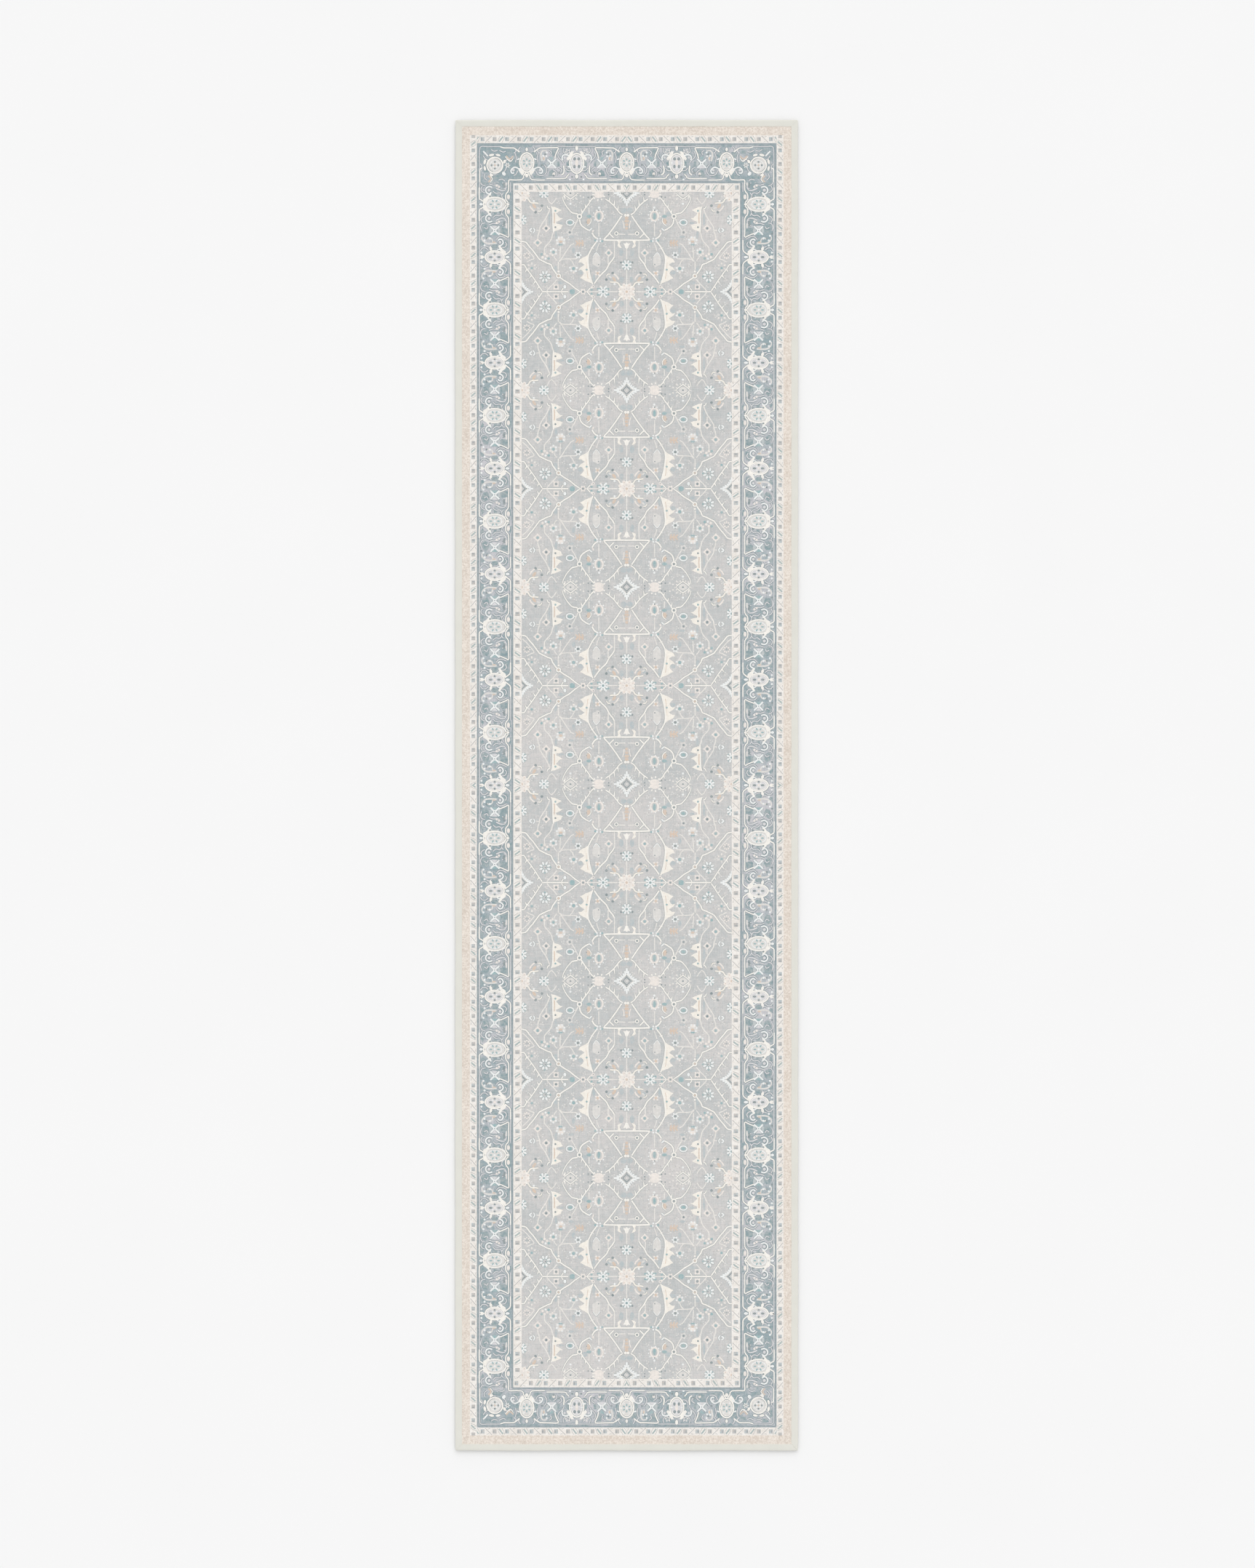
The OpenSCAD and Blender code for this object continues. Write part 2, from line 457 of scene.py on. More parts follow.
# Each ground: worn and deep colour, share in patches, low and high, slub, patches, specks
grounds = [
    printed("sand_margin", (244, 235, 225), (220, 208, 196), 0.15, 0.40, 0.60, 0.03, 20.0, 230.0),
    printed("ivory_guard", (249, 245, 240), (238, 232, 225), 0.30, 0.42, 0.58, 0.025, 30.0, 150.0),
    printed("slate_blue_border", (206, 205, 209), (154, 172, 177), 0.50, 0.42, 0.58, 0.045, 5.0, 75.0),
    printed("grey_field", (216, 213, 211), (197, 200, 200), 0.50, 0.41, 0.59, 0.05, 4.5, 110.0),
]


def band_of(x, y):
    """Which ground lies at a point: 0 margin, 1 guard, 2 border, 3 field."""
    inset = sum(HALF_W - abs(x) > s and HALF_L - abs(y) > e for s, e in zip(SIDE_BANDS[1:], END_BANDS[1:]))
    return (0, 1, 2, 1, 3)[inset]


face_top = node_top("face_fabric")


def face_height(x, y):
    """The height of the cloth's face at a place."""
    return face_top + lie(x, y)


face = slab("printed_face",
            stations(layer_w, *[HALF_W - b for b in SIDE_BANDS]),
            stations(layer_l, *[HALF_L - b for b in END_BANDS]),
            lambda x, y: node_bottom("face_fabric") + lie(x, y), face_height, grounds, band=band_of)
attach(face, "cover")
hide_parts("face_fabric")


# ---------------------------------------------------------------------------
# The print: what is drawn, in millimetres
# The face is printed, so its pattern is a set of dyes laid into the pile. The field, the border's
# sides, ends and corners, and the guards are each drawn as one small repeat, which is mirrored
# and stepped along the cloth.
# ---------------------------------------------------------------------------
SHOULDER = 0.45               # from the edge of a printed shape to its full height
EDGE = 1.3                    # how far a dark edging shows past its pale line
PALE = ("ivory", "white", "cream", "lilac")


def smooth(points, step=16.0, closed=False):
    """A curve through given points, in steps that are shorter where it turns."""
    p = np.array(points, float)
    ends = (p[-1:], p[:2]) if closed else (2 * p[:1] - p[1:2], 2 * p[-1:] - p[-2:-1])
    p = np.vstack([ends[0], p, ends[1]])
    heading = np.unwrap(np.arctan2(*np.diff(p, axis=0).T[::-1]))
    turns = np.abs(np.diff(heading))
    out = []
    for i, (a, b, c, d) in enumerate(zip(p, p[1:], p[2:], p[3:])):
        bends = round(min(3.0, turns[i] + turns[i + 1]) / 0.45)
        count = max(1, round(float(np.hypot(*(c - b))) / step), bends)
        for t in np.arange(count) / count:
            bend = (2 * a - 5 * b + 4 * c - d) * t ** 2 + (3 * b - a - 3 * c + d) * t ** 3
            out.append(b + 0.5 * ((c - a) * t + bend))
    if not closed:
        out.append(p[-2])
    return np.array(out)


class Drawing:
    """The shapes of one repeat. Each has its dye, its points, which of them stand at full height,
    and its faces. Pale lines and petals are edged in a darker dye, which is printed first."""

    def __init__(self, edging=None):
        self.shapes = []
        self.edging = edging

    def _strip(self, dye, path, half, closed):
        """A band along a path, half wide to each side, with a sloped shoulder on both edges."""
        along = np.gradient(path, axis=0)
        if closed:
            along = np.roll(path, -1, 0) - np.roll(path, 1, 0)
        along /= np.maximum(np.hypot(*along.T), 1e-6)[:, None]
        side = np.stack([-along[:, 1], along[:, 0]], 1)
        inner = np.maximum(half - SHOULDER, 0.4 * half)
        rows = [path - side * half[:, None], path - side * inner[:, None],
                path + side * inner[:, None], path + side * half[:, None]]
        n = len(path)
        high = np.repeat([0, 1, 1, 0], n)
        last = n if closed else n - 1
        faces = [(r * n + i, r * n + (i + 1) % n, (r + 1) * n + (i + 1) % n, (r + 1) * n + i)
                 for r in range(3) for i in range(last)]
        self.shapes.append((dye, np.vstack(rows), high, faces))

    def line(self, dye, width, *points, tip=1.0, step=16.0):
        """A drawn line that may taper to its last point."""
        path = smooth(points, step)
        half = width / 2 * np.linspace(1, tip, len(path))
        if self.edging and dye in PALE:
            self._strip(self.edging, path, half + EDGE, False)
        self._strip(dye, path, half, False)

    def ring(self, dye, x, y, radius, width, squash=1.0, sides=20):
        """A round line, or an oval one where squash isn't 1."""
        a = np.arange(sides) * 2 * math.pi / sides
        path = np.stack([x + radius * np.cos(a), y + radius * squash * np.sin(a)], 1)
        if self.edging and dye in PALE:
            self._strip(self.edging, path, np.full(sides, width / 2 + EDGE), True)
        self._strip(dye, path, np.full(sides, width / 2), True)

    def patch(self, dye, *points, soft=False):
        """A filled shape, with sharp corners or soft ones."""
        p = smooth(points, closed=True) if soft else np.array(points, float)
        nxt = np.roll(p, -1, 0)
        if np.sum(p[:, 0] * nxt[:, 1] - nxt[:, 0] * p[:, 1]) < 0:
            p = p[::-1]
        edge = np.roll(p, -1, 0) - p
        edge /= np.maximum(np.hypot(*edge.T), 1e-6)[:, None]
        inward = np.stack([-edge[:, 1], edge[:, 0]], 1)
        inward = inward + np.roll(inward, 1, 0)
        inward /= np.maximum(np.hypot(*inward.T), 0.5)[:, None]
        n = len(p)
        faces = [(i, (i + 1) % n, n + (i + 1) % n, n + i) for i in range(n)]
        faces.append(tuple(range(n, 2 * n)))
        self.shapes.append((dye, np.vstack([p, p + inward * SHOULDER]), np.repeat([0, 1], n), faces))

    def box(self, dye, x0, y0, x1, y1):
        """A filled box between two of its corners."""
        self.patch(dye, (x0, y0), (x1, y0), (x1, y1), (x0, y1))

    def oval(self, dye, x, y, rx, ry, turn=0.0):
        """A filled oval, turned by so many degrees."""
        if self.edging and dye in PALE and max(rx, ry) > 3.0:
            self.oval(self.edging, x, y, rx + EDGE, ry + EDGE, turn)
        sides = 6 + 2 * sum(max(rx, ry) > size for size in (1.9, 3.2, 4.5, 9.0, 12.0, 16.0))
        a = np.arange(sides) * 2 * math.pi / sides
        c, s = math.cos(math.radians(turn)), math.sin(math.radians(turn))
        px, py = rx * np.cos(a), ry * np.sin(a)
        self.patch(dye, *np.stack([x + c * px - s * py, y + s * px + c * py], 1))

    def dots(self, dye, radius, *places):
        """A dot at each place."""
        for x, y in places:
            self.oval(dye, x, y, radius, radius)

    def petals(self, dye, x, y, near, far, count, half, turn=0.0):
        """Petals set round a point like spokes, from radius near to radius far."""
        for i in range(count):
            angle = turn + i * 360 / count
            mid = (near + far) / 2
            a = math.radians(angle)
            self.oval(dye, x + mid * math.cos(a), y + mid * math.sin(a), (far - near) / 2, half, angle)

    def ring_flower(self, petal, eye, x, y, radius, count=4, eye_radius=2.6, turn=0.0):
        """A small round flower: a ring of petals close round an eye."""
        self.ring(petal, x, y, 0.60 * radius, 0.30 * radius, sides=12)
        self.petals(petal, x, y, 0.55 * radius, radius, count, 0.24 * radius, turn)
        self.dots(eye, eye_radius, (x, y))


# The field's repeat: 233.5 mm from the middle of the rug to the side of the field, and 219 mm
# from a star, at 0, to a diamond. The pattern is drawn in this one quarter and mirrored.
FIELD_U = 233.5
FIELD_V = 219.0
field = Drawing("dusk")

# Soft clouded patches that lie under everything else
for x, y, rx, ry in [(73, 30, 3.5, 9), (38, 32, 4, 5), (103, 43, 6, 5), (145, 153, 6, 2.6),
                     (172, 161, 2.6, 14), (157, 126, 3, 9), (124, 122, 7, 3), (11, 27, 5, 7),
                     (146, 20, 7, 4), (158, 50, 4, 8), (7, 181, 7, 6), (93, 173, 6, 6),
                     (12, 88, 5, 9), (118, 92, 4, 7)]:
    field.oval("mist", x, y, rx, ry)

# The thick vines and the bars that frame the stars
field.line("ivory", 3.3, (104, 0), (115, 8), (127, 18), (139, 25), (148, 31.5))
field.line("ivory", 3.3, (155, 38), (165, 52), (168, 60), (176, 63), (186, 68), (194, 72), (200, 80),
           (208, 91), (216, 100), (222, 108), (227, 111), (235, 112))
field.line("ivory", 3.4, (72, 18), (66, 27), (61, 33.5), (54.5, 40.5), (48.5, 46), (44.5, 50.5),
           (41.5, 57), (37.5, 64), (31.5, 71), (27.5, 78))
field.line("stem", 2.5, (27.5, 78), (27, 87), (27.3, 101), (27.8, 112))
field.line("ivory", 3.8, (-1, 114.5), (25, 114.3), (51, 115))
field.line("ivory", 3.4, (51, 115), (48.6, 119), (42.5, 125), (31.4, 139.4), (23.3, 150.5), (18, 158.6),
           (11, 169))
field.line("ivory", 3.2, (29, 120), (38, 129))
field.line("ivory", 3.4, (105, 161), (103, 152), (98, 145), (90, 139.5), (84, 136.5))
field.line("ivory", 3.6, (77, 131), (73, 124), (68, 119.5), (64, 118))
field.line("ivory", 3.4, (109, 173), (120, 175), (126, 180), (132, 187), (137, 195), (141, 203),
           (143, 211), tip=0.6)
field.line("ivory", 3.0, (88, 0), (81, 8))
field.line("ivory", 3.2, (130, 0), (160, 0), (188, 0))

# Fine stems
for width, *points in [
        (2.5, (177.5, 2), (170, 11), (163.5, 17), (155, 27)),
        (2.5, (152, 49), (152, 67)),
        (2.4, (150, 67), (144, 72), (127, 73), (114, 73)),
        (2.4, (126, 72), (121, 67), (118, 60)),
        (2.4, (114, 73), (109, 76), (107, 79)),
        (2.4, (150, 68), (143, 76), (137, 86), (130, 96), (124, 104), (117, 107.5)),
        (2.3, (148.5, 74), (148, 88), (147, 100)),
        (2.3, (155, 69), (160, 75), (162, 80)),
        (2.7, (183, 85), (183, 95), (181, 100), (171, 111), (167, 118), (165, 127), (161, 136)),
        (2.7, (198, 119), (197, 126), (194, 134), (193, 143), (187, 153), (180, 163), (175, 173),
         (171, 183)),
        (2.3, (195, 136), (201, 136.5)),
        (2.2, (178.5, 148), (179, 160)),
        (2.4, (108, 162), (113, 152), (117, 144), (122, 137)),
        (2.4, (113, 154), (118, 154)),
        (2.3, (61.8, 123), (62, 152)),
        (2.4, (83.5, 173), (84, 187)),
        (2.4, (41, 61), (41.5, 78)),
        (2.0, (67, 90), (65, 98), (61, 108)),
        (2.4, (3, 127.5), (18, 128)),
        (2.4, (0, 72), (0, 98)),
        (2.4, (222, 66), (213, 71), (206, 74), (211, 82), (222, 95), (232, 104)),
        (2.3, (167, 195), (161, 201), (156, 209)),
        (2.3, (167, 195), (172, 199), (175, 205), (178, 211))]:
    field.line("stem", width, *points)
field.line("ivory", 3.2, (171, 184), (175, 186), (177, 191), tip=0.7)
field.line("ivory", 2.6, (145, 2), (141, 8))
field.line("stem", 2.5, (20, 0), (44, 0))
field.line("stem", 2.3, (60, 0), (90, 0))
field.line("stem", 2.5, (0, 18), (0, 48))

# Thorned lines, each thorn a short stroke that runs to a point
for path, thorns in [
        ([(188, 2), (195, 12), (204, 26), (214, 40), (223, 52), (228, 60), (235, 60)],
         [(196, 11, 199, 5), (204, 23, 207, 17), (212, 36, 217, 30), (222, 50, 226, 43)]),
        ([(9, 171), (16, 175.5), (21, 182), (29, 192), (38, 200), (47, 206)],
         [(20, 182, 18, 192), (28, 192, 26.5, 204), (39, 201, 37, 211)]),
        ([(101, 172), (96, 180), (91, 187), (84, 196), (80, 203), (73, 210)],
         [(99, 176, 101.5, 185), (91, 187, 93, 195), (82, 199, 84, 206)])]:
    field.line("ivory", 3.0, *path)
    for x0, y0, x1, y1 in thorns:
        field.line("ivory", 3.6, (x0, y0), (x1, y1), tip=0.35)

# The two saw-toothed leaves, each on its thick stem
field.patch("cream", (77, 18), (86, 22), (92, 24), (99, 28.5), (104, 30), (98, 36), (95, 41), (98, 46),
            (102, 49), (107.5, 47), (104, 53), (98, 57), (94, 60), (101, 65), (107.5, 65), (104, 72),
            (98, 75.5), (92, 78), (85, 84), (84, 60), (82, 40), (79, 26))
field.line("ivory", 3.4, (75.5, 16), (79, 26), (82.5, 40), (85, 56), (86.5, 70), (85, 82), (80, 92),
           (74, 102), (67, 111))
field.line("tan", 2.0, (86, 29), (88, 42), (90, 66), tip=0.6)
field.line("ghost", 2.2, (92, 46), (96, 51), (90, 56))
field.line("ground", 2.4, (92, 58), (99, 59.5))
field.patch("cream", (162, 134), (152, 137), (146, 140), (144.5, 145), (141.5, 147.5), (149, 150),
            (156, 151), (157, 155), (150, 158), (141.5, 163.5), (148, 164), (152, 168), (157, 174),
            (151, 178), (144.5, 181.5), (152, 185), (160, 188.5), (169, 190), (165, 180), (164.5, 150))
field.line("ivory", 3.2, (163, 132), (164, 150), (164, 170), (165, 183), (167, 190))
field.line("tan", 3.0, (161, 152), (160.5, 164), (161, 176))
field.patch("cream", (11, 97), (17, 98.5), (20.5, 102), (19, 108), (20.5, 113), (12.5, 113), (16, 106))

# The star at the middle and the flowers on its arms
for x, y in ((0, 0), (FIELD_U, FIELD_V)):
    field.petals("pink", x, y, 6, 20, 8, 4.6, 22.5)
    field.petals("ivory", x, y, 11, 19, 8, 2.4, 0)
    field.petals("tan", x, y, 13, 17, 8, 1.3, 22.5)
    field.dots("pink", 6.5, (x, y))
    field.dots("tan", 3.2, (x, y))
for x, y, out in ((0, 59, 1), (52.5, 0, 1), (184, 219.5, 1), (FIELD_U, 160, 1)):
    field.petals("white", x, y, 5, 12.5, 8, 2.4, 22.5)
    field.petals("teal", x, y, 8.5, 12, 4, 1.8, 45)
    field.dots("white", 5.8, (x, y))
    field.dots("teal", 3.4, (x, y))
    field.dots("slate", 2.0, (x, y))
field.dots("slate", 2.6, (12.5, 65))
field.ring_flower("pink", "slate", 97, 0, 7.5, 6, 2.0)
field.dots("white", 2.6, (46, 11))
field.dots("pink", 2.6, (58, 11), (78, 9))
field.dots("teal", 2.6, (64, 6.5), (78, 4.5), (41, 6))
field.patch("ivory", (-1, 95), (3, 97), (5, 103), (8, 108), (3, 107), (-1, 110))
field.dots("pink", 3.4, (74.4, 11.3))
field.dots("slate", 1.7, (74.4, 11.3))

# Lilies that point away from the star, cornerwise
for x, y, way in ((28, 28, 1), (205.5, 190.5, -1)):
    def place(dx, dy):
        """A point of this lily, from its middle."""
        return x + way * dx, y + way * dy

    field.oval("tan", *place(0, 0), 3.4, 6.2, -35)
    field.line("cream", 3.6, place(-14, -17), place(-10, -10), place(-5, -7), place(2, -7), place(9, -6))
    field.line("pink", 3.2, place(-10, -1), place(-7, 5), place(-2, 10), place(4, 13))
    field.line("cream", 3.2, place(9, 11), place(14, 11), place(17, 6), tip=0.7)
    field.oval("ghost", *place(9, 5), 4.4, 2.6, 40)
    field.dots("slate", 3.2, place(17, -1), place(3, 13.5))
    field.dots("white", 2.6, place(-1, -11))
    field.line("stem", 2.3, place(-14, -17), place(-17, -20))

# Flowers with a ring of petals round an eye
field.ring_flower("pink", "teal", 40, 86.3, 9.0, 4, 3.0)
field.ring_flower("pink", "slate", 157, 10.5, 8.0, 4, 2.5, 45)
field.ring_flower("pink", "teal", 198, 109, 9.5, 4, 3.0)
field.ring_flower("pink", "slate", 179, 141, 9.0, 4, 2.8)
field.ring_flower("white", "slate", 108, 81.5, 8.0, 6, 2.8)
field.ring_flower("ghost", "slate", 126.5, 132, 8.0, 5, 2.4)
field.petals("ghost", 211, 55, 4.5, 11, 6, 2.3, 30)
field.dots("pink", 1.8, (211, 63), (204, 58), (218, 58))
field.dots("teal", 3.0, (211, 52.5))
field.ring_flower("ghost", "teal", 118, 51.5, 9.5, 5, 3.8, 28)
field.ring_flower("ghost", "teal", 163, 88, 8.5, 6, 3.4)
field.dots("white", 2.3, (113, 46), (123.5, 47), (111, 53), (126, 53.5), (157, 84.5), (157, 92),
           (169, 91.5), (163, 95.5))
field.dots("pink", 2.3, (118, 42.5), (170, 84), (165, 81))
field.ring("ivory", 23, 129.5, 3.8, 2.4)
field.dots("slate", 1.5, (23, 129.5))
field.ring("ivory", 151.5, 35, 4.2, 3.0)
field.dots("tan", 2.2, (151.5, 35))
field.ring("ivory", 105, 167.5, 4.6, 3.2)
field.dots("slate", 1.9, (105, 167.5))
field.ring("white", 126, 154, 8.2, 3.0, 0.75)
field.oval("teal", 126, 153.8, 5.0, 3.6)

# The eight-petalled daisy
field.petals("white", 182, 34, 5, 13.5, 8, 2.5, 22.5)
field.dots("teal", 2.2, (182, 21.5), (169.5, 34))
field.petals("teal", 182, 34, 4, 7, 8, 1.0, 0)
field.dots("slate", 1.6, (180.5, 33.5))

# Orange and tan flowers
field.oval("tan", 104, 108, 8.5, 2.6)
for x, y, turn in ((98, 104, -50), (98, 112, 50), (105, 103.5, -65), (105, 112.5, 65), (111, 104.5, -40),
                   (111, 111.5, 40)):
    field.oval("tan", x, y, 3.8, 1.9, turn)
field.petals("ghost", 103, 108, 9.5, 12.5, 8, 1.5, 22.5)
field.patch("ghost", (137, 104), (142, 108), (147, 113), (153, 108), (158, 103), (157, 112), (153, 120),
            (147, 123.5), (140, 120), (136, 112), soft=True)
field.oval("pink", 147, 118, 6.5, 3.6)
field.oval("teal", 147, 104.5, 5.0, 2.0)
field.petals("white", 147, 113, 6, 11, 7, 2.2, 10)
field.oval("tan", 146.5, 111.5, 4.2, 2.4)
field.oval("tan", 85, 156.5, 4.2, 6.4, 12)
field.oval("teal", 84, 167.5, 5.6, 3.4)
field.line("ivory", 2.2, (80, 163), (79, 157), (83, 150), (88, 147))
field.dots("slate", 1.5, (89, 155))
field.dots("pink", 2.4, (62, 37.5), (68, 38), (61, 44), (68, 44.5))
field.dots("tan", 3.2, (64.8, 41))
for y, r in ((141, 2.2), (149, 3.0), (157, 4.4), (164, 3.4)):
    field.oval("tan", 1, y, r, 3.4)
field.line("pink", 2.6, (6, 141), (6.5, 150), (9, 158), tip=0.7)
field.dots("ivory", 3.4, (3, 170))

# Butterfly, and the dotted node at the end of the bar
field.dots("pink", 3.0, (177, 79.5), (187, 76.5), (182.5, 83.5))
field.dots("white", 2.6, (180.3, 73.5))
field.dots("teal", 3.0, (173.5, 74), (189, 83.5))
field.dots("white", 2.2, (58, 112.5), (66, 112.5), (59, 118), (65, 117.6))
field.dots("teal", 2.6, (70, 114.3), (54.5, 112.5))
field.line("white", 3.2, (77.5, 141), (83.5, 135.5))
field.line("pink", 3.0, (75.5, 132), (74, 137.5))

# Palmette on its stem
field.ring("pink", 61.5, 168.5, 8.6, 4.0, 1.25, 14)
field.petals("white", 61.5, 169, 11.5, 15, 10, 1.8, 28)
field.oval("teal", 61.8, 167.5, 3.4, 7.4)
field.oval("ghost", 61.2, 166.5, 1.4, 5.0)
field.dots("slate", 1.8, (62, 180.5))
field.dots("white", 2.6, (61.3, 187))

# The pale, half worn-out leaf
field.patch("ghost", (63, 55), (70, 58), (76, 62), (75, 77), (68, 88), (60, 79), (58.5, 62), soft=True)
field.line("white", 1.8, (59.5, 78), (67.8, 87), (75, 78))
field.dots("slate", 1.7, (62.5, 60.5))

# White crescent, teal blot, dots in the leaves and single buds
field.line("white", 3.0, (208, 131), (204.5, 136), (207, 142))
field.line("white", 3.6, (211, 133), (215.5, 137), (211, 141))
field.oval("teal", 121, 1.5, 6.0, 4.4)
field.oval("white", 137.5, 11, 3.4, 4.4)
field.dots("teal", 2.7, (89, 49), (158.5, 180))
field.dots("slate", 2.5, (158.5, 143.5))
field.dots("ivory", 2.4, (151.5, 45), (138.5, 211))

# Small diamond of dots, and the stepped diamonds
field.petals("pink", 222, 80, 3.4, 8.2, 8, 1.7, 0)
field.dots("slate", 1.2, (222, 80), (218, 80), (222, 84), (226, 80))
for x, y, size in ((0, FIELD_V, 1.0), (FIELD_U, 0, 0.9)):
    sx, sy = (1, -1) if x == 0 else (-1, 1)
    for f, out in ((0.02, 29), (0.17, 27), (0.33, 25), (0.5, 24), (0.67, 25), (0.83, 27), (0.98, 29)):
        a, b = size * out * f, size * out * (1 - f)
        field.line("white", 4.4, (x + sx * 0.6 * a, y + sy * 0.6 * b), (x + sx * a, y + sy * b), tip=0.8)
    field.line("ivory", 3.6, (x, y + sy * 15 * size), (x + sx * 15 * size, y))
    field.line("slate", 3.0, (x, y + sy * 8.5 * size), (x + sx * 8.5 * size, y))
    field.dots("slate", 1.7, (x + sx * 11.5 * size, y), (x, y + sy * 11.5 * size))
    field.dots("ghost", 2.6, (x, y))
field.line("ivory", 2.6, (125, 206), (134, 212.5), (141, 220))
field.line("ivory", 2.6, (125, 206), (116, 212.5), (109, 220))
field.petals("ghost", 125, 219.5, 14, 20, 8, 2.0, 0)
field.petals("stem", 125, 219.5, 13, 17, 8, 1.6, 22.5)
field.oval("ghost", 125, 219.5, 9.5, 8)
field.petals("mist", 125, 219.5, 2, 8, 6, 2.0, 0)
field.dots("slate", 2.6, (125, 219.5))
field.dots("white", 2.6, (125, 195.5))
field.oval("pink", 62, 215, 11, 7)
field.petals("ivory", 62, 216, 10, 15, 9, 1.8, 0)
field.dots("slate", 1.8, (40, 216), (77.5, 211), (85.5, 210))
field.dots("stem", 2.0, (96, 210), (103, 213), (111, 206))

# Small florets and specks that fill the ground between the stems
for x, y in ((14, 44), (26, 62), (50, 70), (46, 100), (74, 96), (92, 96), (130, 40), (138, 56),
             (128, 116), (140, 130), (170, 100), (186, 122), (212, 122), (222, 150), (196, 174),
             (210, 206), (150, 196), (112, 190), (100, 196), (44, 188), (28, 172), (44, 150), (78, 190),
             (206, 12), (218, 24), (172, 44), (196, 52), (146, 90), (82, 116), (110, 126), (28, 212),
             (176, 8), (92, 12), (118, 30), (12, 200)):
    field.dots("ghost", 1.7, (x, y), (x + 4.6, y + 1.8), (x + 1.4, y + 5.0))
    field.dots("stone", 1.5, (x + 5.4, y + 6.2), (x - 3.2, y + 3.4))


def undergrowth(drawing, pools, tendrils):
    """The dark pools of dye and the fine lilac tendrils between the palmettes of the border."""
    for pool in pools:
        drawing.patch("deep", *pool)
    for tendril in tendrils:
        drawing.line("lilac", 2.7, *tendril)


# The main border's side repeat: x in from the edge of the rug, y from one palmette to the next
BORDER_IN = 47.8
BORDER_OUT = 128.8
SIDE_STEP = 117.46
side = Drawing("shade")
undergrowth(
    side,
    [[(80, 18), (92, 19), (97, 24), (92, 29), (82, 29), (78, 24)],
     [(98, 54), (108, 51), (117, 50), (118, 64), (104, 66), (97, 61)],
     [(57, 26), (66, 25), (63, 33), (56, 37)],
     [(62, 54), (71, 52), (76, 60), (75, 68), (66, 74), (59, 68)],
     [(108, 16), (115, 18), (118, 28), (117, 38), (110, 38), (106, 27)],
     [(56, 92), (61, 90), (64, 97), (60, 103)], [(84, 92), (92, 92), (93, 98), (86, 99)],
     [(119, 92), (124, 92), (125, 108), (120, 104)]],
    [[(91, 39), (97, 45), (106, 45), (114, 41)], [(60, 77), (57, 84), (61, 90), (66, 92)],
     [(84, 88), (90, 93), (98, 92), (103, 96), (101, 101)],
     [(104, 21), (110, 22), (114, 28), (111, 34)], [(58, 58), (56, 66), (59, 74), (66, 76)],
     [(56, 14), (60, 20), (68, 20), (73, 16)], [(104, 70), (111, 72), (113, 80), (108, 83)],
     [(70, 24), (76, 22), (80, 26)], [(75, 72), (84, 75), (94, 74), (100, 79)],
     [(64, 66), (70, 63), (73, 68)], [(107, 92), (103, 98), (106, 105), (111, 108)]])
# The pale lines that join one palmette to the next
side.line("lilac", 2.6, (53.6, -1), (53.6, 40), (53.6, 80))
side.line("ivory", 3.1, (53.4, 80), (53.4, 104), (57, 107.5), (66, 113.5))
side.line("ivory", 3.1, (110, 4), (119, 11), (122.6, 17), (122.6, 38))
side.line("lilac", 2.4, (122.8, 38), (122.8, 90))
side.line("ivory", 2.9, (97, 53), (104, 50.5), (112, 47), (118.5, 45), (118.5, 60), (118.5, 86),
          (113.5, 93), (111.5, 101), (113.5, 109), (118, 114))
# The first palmette, its buds and its leaves
side.oval("lilac", 87.5, 0, 19.5, 12.5)
side.ring("ivory", 87.5, 0, 21, 3.6, 0.66, 28)
side.petals("ghost", 87.5, 0, 5, 15, 6, 3.2, 0)
side.oval("slate", 78.6, 0, 4.2, 2.6)
side.oval("slate", 97.0, 0, 4.2, 2.6)
side.oval("slate", 87.5, 7.8, 2.8, 2.4)
side.petals("white", 87.5, 0, 3, 9, 4, 1.3, 45)
side.dots("pink", 3.2, (87.5, 0))
side.ring("ivory", 87.5, 0, 17, 1.6, 0.64, 28)
side.oval("ivory", 79, 18.5, 3.2, 4.8, 15)
side.patch("ivory", (102, 8), (107, 4), (113, 7), (112, 13), (105, 18), (99, 27), (95, 25), (99, 16))
side.patch("ivory", (66, 0), (60, -4), (53, -3), (57, 0), (53, 3), (60, 4))
side.oval("white", 116, 0, 5.0, 3.0)
side.line("ivory", 4.1, (104, 11), (100.5, 18), (98.5, 26))
# The curl, and the bird's head that faces it
side.line("white", 3.5, (98.5, 25), (103, 27), (106.5, 32), (104, 38), (99, 40), (95, 37))
side.line("white", 2.9, (92, 14), (96, 17), (101, 16))
side.oval("lilac", 99.5, 33, 3.4, 3.6)
side.line("ghost", 4.4, (92, 31), (80, 30), (69, 31), (62, 36), (59, 43), (62, 48), tip=0.6)
side.line("ghost", 3.2, (83, 33), (82, 39), (76, 43), (71, 40))
side.dots("white", 2.5, (62.5, 47.5), (77, 41.5), (65, 37), (65, 26), (58, 10))
side.dots("slate", 2.4, (69.5, 42), (58, 52))
side.oval("tan", 86, 33, 4.0, 1.9)
# The cross between two triangles
side.patch("teal", (80.5, 49), (94.5, 49), (87.5, 56))
side.patch("lilac", (80.5, 69.5), (94.5, 69.5), (87.5, 62))
side.oval("mist", 78.5, 59, 3.6, 6)
side.oval("mist", 97, 59, 3.6, 6)
side.line("white", 4.1, (78, 49.5), (87.5, 58.9), (98, 68.5))
side.line("white", 4.1, (78, 68.5), (87.5, 58.9), (98, 49.5))
side.dots("white", 4.2, (87.5, 58.9))
side.dots("slate", 1.7, (87.5, 58.9))
